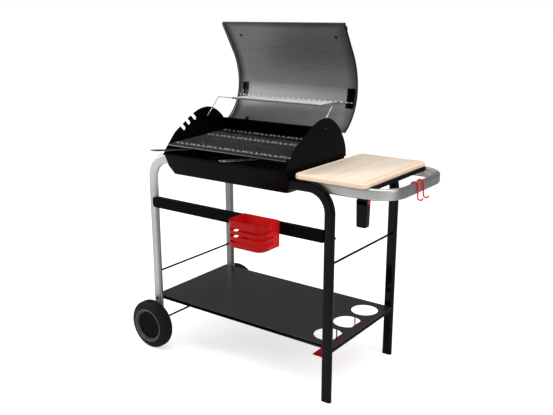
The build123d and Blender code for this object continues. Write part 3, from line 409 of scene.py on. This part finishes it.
# %% Wheel finish
AXLE_X, AXLE_Z = -410, 100
AXLE = at(AXLE_X, 0, AXLE_Z)
RIM_LIGHT_START = (0.0560, 0.0600)        # distances from the axle between which the rim's tone comes in


def radius_from_axle(tree):
    across, _, up = object_axes(tree)
    return length_of(tree, minus(tree, across, AXLE.x), minus(tree, up, AXLE.z))


def hub_finish():
    material, tree, shader = blank_finish("wheel_plastic", 0.0, 0.4)
    skin = group_node(tree, skin_group, Grain_Scale=1500.0)
    # Painted light on the rim and painted shade in the sunken middle.
    rim = fade(tree, radius_from_axle(tree), *RIM_LIGHT_START)
    colour = blend(tree, rim, (0.0014, 0.0014, 0.0018), (0.070, 0.070, 0.079))
    wire_finish(tree, shader, colour, 0.36, skin.outputs["Mask"], 0.08, skin.outputs["Height"], 0.2)
    tree.links.new(plus(tree, times(tree, rim, 0.35), 0.05), shader.inputs["Specular IOR Level"])
    return material


wheel_plastic = hub_finish()

# %% [markdown]
# Plated wire and zinc are metals: metallic 1, a pale base colour and a low roughness that varies.
# The two grates are plated too, but less metallic: the cooking grate's painted highlights are barely
# metallic, and the rack's pale wire not at all.

# %% Metals
bail_chrome = coat_finish("chrome_wire", (0.22, 0.22, 0.225), (0.38, 0.38, 0.39), 0.2, metallic=1.0,
                          bump=0.05)
BAR_PLACES = [at(0, y, 0).y for y in (-200, -20, 85)]
BAR_HALF = 0.0026
DASH = 0.021
FRONT_BAR, FRONT_BAR_HALF = at(0, -242, 0).y, 0.005
RACK_FRONT, RACK_REAR = at(0, 57, 0).y, at(0, 189.0, 0).y
RACK_FRONT_ENDS = (RACK_FRONT + 0.010, RACK_FRONT + 0.004)
RACK_REAR_BAR_SHADE = (RACK_REAR - 0.007, RACK_REAR - 0.003)
RACK_DASH = 0.025


def grate_finish():
    """Plated grate: the long wires are a darker plate, and the cross bars carry painted highlights between
    the wires.
    """
    material, tree, shader = blank_finish("grate_wire_painted_highlights", 1.0)
    across, along, _ = object_axes(tree)
    near = None
    for place in BAR_PLACES:
        on_bar = under(tree, gap_from(tree, along, place), BAR_HALF)
        near = on_bar if near is None else larger(tree, near, on_bar)
    # Painted highlights: light dashes on the cross bars, between the wires.
    bar_highlight = times(tree, near, over(tree, wave_along(tree, across, DASH), -0.3))
    skin = group_node(tree, skin_group, Grain_Scale=900.0)
    colour = colour_between(tree, bar_highlight, (0.50, 0.50, 0.505), (0.86, 0.86, 0.87))
    colour = blend(tree, within(tree, along, FRONT_BAR, FRONT_BAR_HALF), colour, (0.17, 0.17, 0.175))
    wire_finish(tree, shader, colour, 0.2, skin.outputs["Mask"], 0.1, skin.outputs["Height"], 0.05)
    # The painted highlights are barely metallic, so they read white.
    tree.links.new(minus(tree, 1.0, times(tree, bar_highlight, 0.8)), shader.inputs["Metallic"])
    return material


grate_wire_painted_highlights = grate_finish()


def rack_finish():
    """Pale plated wire; the front ends are darker, and the rear bar carries painted shade between the
    wires.
    """
    material, tree, shader = blank_finish("rack_wire_painted_shade", 0.0, 0.6)
    across, along, _ = object_axes(tree)
    skin = group_node(tree, skin_group, Grain_Scale=900.0)
    pale = colour_between(tree, skin.outputs["Mask"], (0.90, 0.90, 0.90), (1.0, 1.0, 1.0))
    front = fade(tree, along, *RACK_FRONT_ENDS)
    # Painted shade: dark marks along the rear bar, between the wires.
    gap_shade = times(tree, fade(tree, along, *RACK_REAR_BAR_SHADE),
                 over(tree, wave_along(tree, across, RACK_DASH), 0.0))
    darkened = larger(tree, times(tree, front, 0.8), times(tree, gap_shade, 0.9))
    colour = blend(tree, darkened, pale, (0.035, 0.035, 0.035))
    wire_finish(tree, shader, colour, 0.32, skin.outputs["Mask"], 0.1, skin.outputs["Height"], 0.05)
    return material


rack_chrome = rack_finish()
zinc_plate = coat_finish("zinc_plate", (0.42, 0.42, 0.43), (0.56, 0.56, 0.57), 0.32, metallic=1.0,
                         bump=0.15)

# %% [markdown]
# The lid is one curved sheet. Inside it is bare brushed steel, dulled by heat; outside it is coated
# black. Both faces are the same mesh, so the finish tells them apart by how far a point lies from
# the axis of the sheet's own curve: past the middle of the sheet it is outside.

# %% Lid finish
HIGH_Y, HIGH_Z, HIGH_R = -40, 1060, 248         # the upper curve's centre and inner radius
LOW_CENTRE = at(0, 24, 1060)
HIGH_CENTRE = at(0, HIGH_Y, HIGH_Z)
LOW_MID, HIGH_MID = 0.1846, 0.2486
BEND_END = math.radians(31.4)
LID_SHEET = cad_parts["lid_shell"].data.vertices
LID_LEFT, LID_RIGHT = min(v.co.x for v in LID_SHEET), max(v.co.x for v in LID_SHEET)
LID_TOP = max(v.co.z for v in LID_SHEET)
# Inside the lid: a painted reflection band, painted shade at the borders and the right hem, a painted
# highlight on the left hem.
REFLECTION_BAND_START, REFLECTION_BAND_END = (0.955, 0.995), (1.075, 1.025)
RIGHT_SHADE_BORDER = (LID_RIGHT - 0.060, LID_RIGHT)
TOP_SHADE_BORDER = (LID_TOP - 0.030, LID_TOP)
LEFT_SHADE_BORDER = (LID_LEFT + 0.055, LID_LEFT + 0.006)
LEFT_HALF_SHADE = (LID_LEFT + 0.30, LID_LEFT + 0.05)
LEFT_HEM_HIGHLIGHT, RIGHT_HEM_SHADE = LID_LEFT + 0.0040, LID_RIGHT - 0.0035


def lid_finish():
    material, tree, shader = blank_finish("lid_sheet_painted_light", 0.0)
    side, across, up = object_axes(tree)

    def distance_from(centre):
        dy, dz = minus(tree, across, centre.y), minus(tree, up, centre.z)
        return dy, dz, length_of(tree, dy, dz)

    def choose(mask, when_on, when_off):
        return plus(tree, times(tree, mask, when_on), times(tree, minus(tree, 1.0, mask), when_off))

    low = over(tree, distance_from(LOW_CENTRE)[2], LOW_MID)
    dy, dz, radius = distance_from(HIGH_CENTRE)
    bent = over(tree, radius, HIGH_MID)
    out = plus(tree, times(tree, dy, math.cos(BEND_END)), times(tree, dz, math.sin(BEND_END)))
    flat = over(tree, out, HIGH_MID)
    past_bend = over(tree, math_node(tree, "ARCTAN2", dz, dy), BEND_END)
    above = over(tree, up, HIGH_CENTRE.z)
    outside = choose(above, choose(past_bend, flat, bent), low)

    brushed = group_node(tree, brushed_group, Fineness=420.0)
    skin = group_node(tree, skin_group, Grain_Scale=700.0)
    mottle = noise(tree, object_coordinates(tree), 380.0, 4.0, 0.65)
    worn = plus(tree, times(tree, mottle, 0.7), times(tree, brushed.outputs["Mask"], 0.3))
    inner = colour_between(tree, worn, (0.142, 0.141, 0.139), (0.248, 0.246, 0.243))
    # Painted reflection: a lighter band across the inside.
    painted_reflection_band = times(tree, fade(tree, up, *REFLECTION_BAND_START), fade(tree, up, *REFLECTION_BAND_END))
    inner = blend(tree, times(tree, painted_reflection_band, 0.42), inner, (0.42, 0.42, 0.415))
    # Painted shade along the right, top and left borders and over the left half.
    shade = times(tree, fade(tree, side, *RIGHT_SHADE_BORDER), 0.60)
    for border, strength in ((TOP_SHADE_BORDER, 0.7), (LEFT_HALF_SHADE, 0.17), (LEFT_SHADE_BORDER, 0.80)):
        coordinate = up if border is TOP_SHADE_BORDER else side
        shade = larger(tree, shade, times(tree, fade(tree, coordinate, *border), strength))
    inner = blend(tree, shade, inner, (0.006, 0.006, 0.006))
    # Painted highlight on the left hem and painted shade on the right hem.
    inner = blend(tree, under(tree, side, LEFT_HEM_HIGHLIGHT), inner, (0.42, 0.42, 0.42))
    inner = blend(tree, over(tree, side, RIGHT_HEM_SHADE), inner, (0.003, 0.003, 0.003))
    tree.links.new(blend(tree, outside, inner, (0.005, 0.005, 0.0055)), shader.inputs["Base Color"])
    tree.links.new(times(tree, minus(tree, 1.0, outside), 0.85), shader.inputs["Metallic"])
    tree.links.new(plus(tree, times(tree, skin.outputs["Mask"], 0.1), 0.36), shader.inputs["Roughness"])
    bump = tree.nodes.new("ShaderNodeBump")
    bump.inputs["Strength"].default_value = 0.2
    bump.inputs["Distance"].default_value = 0.0002
    tree.links.new(brushed.outputs["Height"], bump.inputs["Height"])
    tree.links.new(bump.outputs[0], shader.inputs["Normal"])
    return material


lid_sheet_painted_light = lid_finish()
print("lid finish ready")

# %% [markdown]
# The board is pale oiled wood with its grain along its length. Stretched noise gives the grain,
# slower noise the growth rings; the edges are warmer, and the groove is painted a darker brown as shade.

# %% Wood finish
BOARD_MID = at(405.0, -10.0, 806.0)
BOARD_SIZE = (0.278, 0.464, 0.018)
CORNER_ROUND, EDGE_ROUND = 0.024, 0.0055
GROOVE_IN, GROOVE_WIDE, GROOVE_DEEP = 0.012, 0.008, 0.003
BOARD_TOP = BOARD_MID.z + BOARD_SIZE[2] / 2
# Between these heights the edges turn warmer and the groove takes painted shade.
SUNK = (BOARD_TOP - 0.0004, BOARD_TOP - 0.0022)     # edges and groove turn warmer between these
GROOVE_START = GROOVE_IN - 0.001


def wood_finish():
    material, tree, shader = blank_finish("oiled_board_groove_shade", 0.0, 0.35)
    stretch = tree.nodes.new("ShaderNodeMapping")
    stretch.inputs["Scale"].default_value = (1.0, 0.06, 1.0)
    tree.links.new(object_coordinates(tree), stretch.inputs["Vector"])
    grain = noise(tree, stretch.outputs[0], 260.0, 4.0, 0.55)
    rings = noise(tree, stretch.outputs[0], 40.0, 2.0)
    both = plus(tree, times(tree, grain, 0.5), times(tree, rings, 0.5))
    colour = colour_between(tree, both, (0.80, 0.65, 0.515), (0.92, 0.785, 0.66))
    across, along, up = object_axes(tree)
    inside = times(tree, within(tree, across, BOARD_MID.x, BOARD_SIZE[0] / 2 - GROOVE_START),
                   within(tree, along, BOARD_MID.y, BOARD_SIZE[1] / 2 - GROOVE_START))
    # Painted shade in the groove; the edges take a warmer tone.
    warm_edge_and_groove_shade = blend(tree, inside, (0.97, 0.75, 0.55), (0.80, 0.50, 0.29))
    colour = blend(tree, fade(tree, up, *SUNK), colour, warm_edge_and_groove_shade)
    wire_finish(tree, shader, colour, 0.42, grain, 0.15, grain, 0.2)
    return material


board_wood = wood_finish()

# %% [markdown]
# The tyre is matt rubber with fine ribs that run round its side. The ribs are rings, so the bump
# reads the distance from the axle.

# %% Tyre finish
RIB_PITCH = 0.004


def tyre_finish():
    material, tree, shader = blank_finish("tyre_rubber", 0.0, 0.10)
    ribs = wave_along(tree, radius_from_axle(tree), RIB_PITCH)
    skin = group_node(tree, skin_group, Grain_Scale=1200.0)
    colour = colour_between(tree, skin.outputs["Mask"], (0.0080, 0.0080, 0.0082), (0.0135, 0.0135, 0.0138))
    wire_finish(tree, shader, colour, 0.62, skin.outputs["Mask"], 0.1, ribs, 0.4, 0.0004)
    return material


tyre_rubber = tyre_finish()

# %% [markdown]
# ## Finishing the CAD pieces
# Every CAD node whose shape is already right keeps its mesh and only gets its finish.

# %% Hand out the finishes
FINISH_OF = {
    black_coat: ["front_rail", "left_brace", "right_brace", "tray_hangers", "firebox", "rear_panel",
                 "left_cheek", "right_cheek", "grate_ledges", "left_side_rail", "right_side_rail",
                 "table_crossbars", "right_rack_bracket", "hinge_fixed_leaves", "hinge_lid_leaves",
                 "axle_spacers"],
    leg_coat: ["front_right_leg", "rear_right_leg"],
    # The rack brackets are alike: the left one's greyer sheet is painted light, the right one's black coat
    # painted shade.
    lit_bracket_sheet: ["left_rack_bracket"],
    silver_coat: ["front_left_leg", "rear_left_leg", "side_handle"],
    shelf_coat: ["shelf"],
    red_coat: ["bottle_tray"],
    basket_coat: ["basket"],
    hook_coat: ["front_hook", "rear_hook"],
    lid_sheet_painted_light: ["lid_shell"],
    black_zinc: ["axle"],
    zinc_plate: ["axle_clips", "table_screws", "hinge_pins", "lid_handle_posts"],
    dark_screw: ["trolley_screws", "box_screws", "lid_screws"],
    grate_wire_painted_highlights: ["cooking_grate"],
    bail_chrome: ["grate_handles", "rack_bail"],
    rack_chrome: ["warming_rack"],
    coal_iron: ["charcoal_grate"],
    tyre_rubber: ["front_tyre", "rear_tyre"],
    wheel_plastic: ["front_wheel_hub", "rear_wheel_hub", "front_hub_disc", "rear_hub_disc"],
    black_plastic: ["leg_feet", "lid_handle", "cap_catcher"],
    red_plastic: ["bottle_opener"],
    board_wood: ["cutting_board"],
}
for material, nodes in FINISH_OF.items():
    for node in nodes:
        node_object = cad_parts[node]
        if not node_object.material_slots:
            node_object.data.materials.append(material)
        for material_slot in node_object.material_slots:
            material_slot.material = material
print("finished", sum(len(nodes) for nodes in FINISH_OF.values()), "of", len(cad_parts))

# %% [markdown]
# ## New pieces
# A new piece is a bmesh shaped by operators. `finish_piece` makes the object, smooths its round
# faces, gives it its finish and says which body it rides on.

# %% Piece helper


def finish_piece(name, mesh_data, material, body, stands_for=(), sharp=35):
    bmesh.ops.recalc_face_normals(mesh_data, faces=mesh_data.faces)
    for face in mesh_data.faces:
        face.smooth = True
    for edge in mesh_data.edges:
        edge.smooth = len(edge.link_faces) != 2 or edge.calc_face_angle(0.0) < math.radians(sharp)
    mesh = bpy.data.meshes.new(name)
    mesh_data.to_mesh(mesh)
    mesh_data.free()
    mesh.materials.append(material)
    piece = bpy.data.objects.new(name, mesh)
    bpy.context.scene.collection.objects.link(piece)
    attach(piece, body)
    if stands_for:
        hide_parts(*stands_for)
    print(name, len(mesh.polygons), "faces")
    return piece


# %% [markdown]
# ### The cutting board
# A slab with rounded corners, softened edges and a juice groove. It starts as a cube; its upright
# edges are bevelled first, then the long edges round its top and bottom, and the groove is an inset
# ring pushed down.

# %% Cutting board
def top_face(work):
    return max((f for f in work.faces if f.normal.z > 0.9), key=lambda f: f.calc_area())


board = bmesh.new()
bmesh.ops.create_cube(board, size=1.0)
bmesh.ops.scale(board, vec=BOARD_SIZE, verts=board.verts)
upright = [e for e in board.edges if abs(e.verts[0].co.z - e.verts[1].co.z) > BOARD_SIZE[2] / 2]
bmesh.ops.bevel(board, geom=upright, offset=CORNER_ROUND, segments=10, profile=0.5, affect="EDGES",
                material=-1)
rims = [e for e in board.edges if abs(e.verts[0].co.z - e.verts[1].co.z) < 1e-6
        and e.calc_face_angle(0.0) > 1.0]
bmesh.ops.bevel(board, geom=rims, offset=EDGE_ROUND, segments=5, profile=0.5, affect="EDGES",
                material=-1)
board.normal_update()
bmesh.ops.inset_individual(board, faces=[top_face(board)], thickness=GROOVE_IN - EDGE_ROUND)
board.normal_update()
inner = top_face(board)
bmesh.ops.inset_individual(board, faces=[inner], thickness=GROOVE_WIDE / 3)
groove_floor = bmesh.ops.inset_individual(board, faces=[inner], thickness=GROOVE_WIDE / 3)["faces"]
bmesh.ops.inset_individual(board, faces=[inner], thickness=GROOVE_WIDE / 3)
low_verts = {v for f in groove_floor for v in f.verts}
bmesh.ops.translate(board, vec=(0, 0, -GROOVE_DEEP), verts=list(low_verts))
bmesh.ops.translate(board, vec=BOARD_MID, verts=board.verts)
finish_piece("carving_board", board, board_wood, "board", ["cutting_board"], sharp=50)

# %% [markdown]
# ### The wheels
# Tyre and hub are turned shapes, so each starts as a half outline spun round the axle. Close points
# at the shoulders keep the tyre's edge soft.

# %% Wheels


def turned_piece(name, outline, side, material, body, stands_for, steps=96):
    """Spins a closed outline of (radius, distance out from the inner end) in mm round the axle."""
    work = bmesh.new()
    points = [work.verts.new(at(AXLE_X + r, side * (WHEEL_IN + y), AXLE_Z)) for r, y in outline]
    edges = [work.edges.new((points[i], points[(i + 1) % len(points)])) for i in range(len(points))]
    bmesh.ops.spin(work, geom=points + edges, cent=AXLE, axis=(0, 1, 0), angle=2 * math.pi, steps=steps,
                   use_merge=True)
    bmesh.ops.remove_doubles(work, verts=work.verts, dist=1e-6)
    return finish_piece(name, work, material, body, stands_for, sharp=40)


WHEEL_IN = 259.0
TYRE_OUTLINE = [(70, 2), (90, 0), (95, 0.6), (98.2, 3), (99.6, 6.5), (100, 10), (100, 14), (99.2, 15),
                (99.2, 21), (100, 22), (100, 26), (99.6, 29.5), (98.4, 32.8), (96.2, 35.4), (93, 37.2),
                (89, 39), (84, 41.4), (79, 43.8), (74, 45.6), (70, 46.5)]
HUB_OUTLINE = [(4.05, 0), (15, 0), (15, 16), (60, 20), (64, 2), (69.9, 2), (69.9, 46.5), (69, 47.6),
               (67.5, 48), (65.8, 47.7), (64.6, 46.6), (63.8, 43), (62.1, 38), (61.1, 36), (58, 36),
               (56, 25), (15, 22), (15, 28.7), (4.05, 28.7)]
for end, side in (("front", -1), ("rear", 1)):
    body = end + "_wheel"
    turned_piece(end + "_tyre_ring", TYRE_OUTLINE, side, tyre_rubber, body, [end + "_tyre"])
    turned_piece(end + "_hub_ring", HUB_OUTLINE, side, wheel_plastic, body,
                 [end + "_wheel_hub"])

# %% [markdown]
# ### Screw heads
# Each visible screw is a low pan head with a cross recess, on a short shank. The head is a disc
# with its edge rounded off. Its top is cut along four planes each way, and the faces of the cross
# between them are sunk.

# %% Screws
HEAD_R, HEAD_THICK, HEAD_ROUND = 0.0055, 0.0025, 0.0014
CROSS_HALF, CROSS_ARM, CROSS_DEEP = 0.00055, 0.0024, 0.0011
SHANK_R, SHANK_LONG = 0.0025, 0.012
TOP_OVER = 0.002            # what lies over this height belongs to the head's top


def on_top(face):
    return face.normal.z > 0.99 and face.calc_center_median().z > TOP_OVER


def in_cross(face):
    centre = face.calc_center_median()
    near, far = sorted((abs(centre.x), abs(centre.y)))
    return near < CROSS_HALF and far < CROSS_ARM


def cross_screw(work, place, inward):
    """Adds one pan head with a cross recess, seated at a place, its shank pointing inward."""
    out = -Vector(inward).normalized()
    turn = out.to_track_quat("Z", "Y").to_matrix().to_4x4()
    cap = bmesh.new()
    bmesh.ops.create_cone(cap, cap_ends=True, segments=24, radius1=HEAD_R, radius2=HEAD_R, depth=HEAD_THICK)
    bmesh.ops.translate(cap, vec=(0, 0, HEAD_THICK / 2), verts=cap.verts)
    rim = [e for e in cap.edges if all(v.co.z > TOP_OVER for v in e.verts)]
    bmesh.ops.bevel(cap, geom=rim, offset=HEAD_ROUND, segments=4, profile=0.5, affect="EDGES", material=-1)
    for turn_angle in (0.0, math.pi / 2):
        normal = Matrix.Rotation(turn_angle, 3, "Z") @ Vector((1, 0, 0))
        for sign in (-1, 1):
            for shift in (CROSS_HALF, CROSS_ARM):
                top = [f for f in cap.faces if on_top(f)]
                edges = list({e for f in top for e in f.edges})
                verts = list({v for f in top for v in f.verts})
                bmesh.ops.bisect_plane(cap, geom=top + edges + verts,
                                       plane_co=normal * sign * shift, plane_no=normal)
    cap.normal_update()
    arms = [f for f in cap.faces if on_top(f) and in_cross(f)]
    deep = bmesh.ops.extrude_face_region(cap, geom=arms)["geom"]
    bmesh.ops.delete(cap, geom=arms, context="FACES_ONLY")
    bmesh.ops.translate(cap, vec=(0, 0, -CROSS_DEEP),
                        verts=[g for g in deep if isinstance(g, bmesh.types.BMVert)])
    shank = bmesh.ops.create_cone(cap, cap_ends=True, segments=12, radius1=SHANK_R, radius2=SHANK_R,
                                  depth=SHANK_LONG)
    bmesh.ops.translate(cap, vec=(0, 0, -SHANK_LONG / 2), verts=shank["verts"])
    cap.transform(Matrix.Translation(place) @ turn)
    part = bpy.data.meshes.new("screw_part")
    cap.to_mesh(part)
    cap.free()
    work.from_mesh(part)
    bpy.data.meshes.remove(part)


def screw_set(name, spots, body, stands_for, material=dark_screw):
    work = bmesh.new()
    for place, inward in spots:
        cross_screw(work, place, inward)
    finish_piece(name, work, material, body, stands_for)


LEG_X, LEG_FACE_Y, SHELF_SCREW_Z = 410, 242, 202.5
LEG_FACE_X, RAIL_Y, RAIL_SCREW_Z = 430, -232, 613
ARM_FACE_Y, ARM_SCREW_Z = 202, 777
ARM_SCREW_X, BAR_SCREW_X = (300, 320), 518
LID_SCREW_X, LID_SCREW_ALONG = (-252, 196), 73.0        # the second is how far up the lid's flat

shelf_spots = [(at(sx * LEG_X, sy * LEG_FACE_Y, SHELF_SCREW_Z), (0, -sy, 0))
               for sx in (-1, 1) for sy in (-1, 1)]
rail_spots = [(at(LEG_FACE_X, RAIL_Y, RAIL_SCREW_Z), (-1, 0, 0))]
screw_set("trolley_cross_screws", shelf_spots + rail_spots, "trolley", ["trolley_screws"])
table_spots = [(at(x, sy * ARM_FACE_Y, ARM_SCREW_Z), (0, sy, 0)) for x in ARM_SCREW_X for sy in (-1, 1)]
table_spots += [(at(BAR_SCREW_X, ARM_FACE_Y, ARM_SCREW_Z), (0, 1, 0))]
screw_set("table_cross_screws", table_spots, "trolley", ["table_screws"], zinc_plate)

flat_y = HIGH_Y + HIGH_R * math.cos(BEND_END) - math.sin(BEND_END) * LID_SCREW_ALONG
flat_z = HIGH_Z + HIGH_R * math.sin(BEND_END) + math.cos(BEND_END) * LID_SCREW_ALONG
lid_spots = [(at(x, flat_y, flat_z), (0, math.cos(BEND_END), math.sin(BEND_END))) for x in LID_SCREW_X]
screw_set("lid_cross_screws", lid_spots, "lid", ["lid_screws"])

# %% [markdown]
# ### Floor, light and camera
# A plain pale floor under a white world, so the floor's far edge isn't seen. The camera sees the
# world at full strength; it lights the object less, and mirrors in it least. Soft lamps stand left,
# right and overhead, and a narrow one lights the table's side.

# %% Floor and world
FLOOR_HALF, FLOOR_DROP = 30, 0.0005
FLOOR_TONE, FLOOR_GLOW = 0.86, 0.62
WORLD_LIGHT = 0.46
WORLD_SEEN, WORLD_MIRRORED = 0.54, 0.24     # more where the camera sees it, less where it is mirrored

floor_mesh = bmesh.new()
bmesh.ops.create_grid(floor_mesh, x_segments=1, y_segments=1, size=FLOOR_HALF)
floor_data = bpy.data.meshes.new("studio_floor")
floor_mesh.to_mesh(floor_data)
floor_mesh.free()
floor = bpy.data.objects.new("studio_floor", floor_data)
bpy.context.scene.collection.objects.link(floor)
floor.location = (0, 0, -FLOOR_DROP)

floor_white = bpy.data.materials.new("floor_white")
floor_white.use_nodes = True
tree = floor_white.node_tree
tree.nodes.clear()
output = tree.nodes.new("ShaderNodeOutputMaterial")
diffuse = tree.nodes.new("ShaderNodeBsdfDiffuse")
diffuse.inputs["Color"].default_value = (FLOOR_TONE, FLOOR_TONE, FLOOR_TONE, 1)
glow = tree.nodes.new("ShaderNodeEmission")
glow.inputs["Color"].default_value = (1, 1, 1, 1)
path = tree.nodes.new("ShaderNodeLightPath")
tree.links.new(times(tree, path.outputs["Is Camera Ray"], FLOOR_GLOW), glow.inputs["Strength"])
both = tree.nodes.new("ShaderNodeAddShader")
tree.links.new(diffuse.outputs[0], both.inputs[0])
tree.links.new(glow.outputs[0], both.inputs[1])
tree.links.new(both.outputs[0], output.inputs["Surface"])
floor_data.materials.append(floor_white)

world = bpy.data.worlds.new("studio_world")
bpy.context.scene.world = world
world.use_nodes = True
tree = world.node_tree
background = tree.nodes["Background"]
background.inputs["Color"].default_value = (1, 1, 1, 1)
path = tree.nodes.new("ShaderNodeLightPath")
seen = larger(tree, path.outputs["Is Camera Ray"], path.outputs["Is Transmission Ray"])
strength = plus(tree, times(tree, seen, WORLD_SEEN), WORLD_LIGHT)
mirrored = times(tree, path.outputs["Is Glossy Ray"], WORLD_MIRRORED)
tree.links.new(minus(tree, strength, mirrored), background.inputs["Strength"])
print("floor and world ready")

# %% Lamps and camera


def soft_lamp(name, place, target, size, power):
    lamp_data = bpy.data.lights.new(name, "AREA")
    lamp_data.shape = "RECTANGLE"
    lamp_data.size, lamp_data.size_y = size
    lamp_data.energy = power
    lamp = bpy.data.objects.new(name, lamp_data)
    bpy.context.scene.collection.objects.link(lamp)
    lamp.location = place
    lamp.rotation_euler = (Vector(target) - Vector(place)).to_track_quat("-Z", "Y").to_euler()


soft_lamp("overhead_softbox", (0.2, -0.6, 3.4), (0, 0, 0.7), (2.6, 2.0), 50)
soft_lamp("left_softbox", (-2.6, -1.6, 1.7), (0, 0, 0.7), (1.4, 2.2), 38)
soft_lamp("right_softbox", (2.8, -0.6, 1.6), (0, 0, 0.7), (1.2, 2.2), 14)
soft_lamp("edge_strip", (1.65, 0.15, 2.85), (0.25, -0.17, 0.75), (0.14, 1.6), 12)

VIEW_AZIMUTH, VIEW_ELEVATION = math.radians(36.0), math.radians(15.2)
CAMERA_PLACE = at(1607.5, -2182.1, 1337.0)
LENS, SENSOR = 46.52, 36.0
camera_data = bpy.data.cameras.new("studio_camera")
camera_data.sensor_width = SENSOR
camera_data.lens = LENS
camera = bpy.data.objects.new("studio_camera", camera_data)
bpy.context.scene.collection.objects.link(camera)
camera.location = CAMERA_PLACE
camera.rotation_euler = (math.pi / 2 - VIEW_ELEVATION, 0, VIEW_AZIMUTH)
bpy.context.scene.camera = camera
bpy.context.scene.view_settings.view_transform = "Standard"
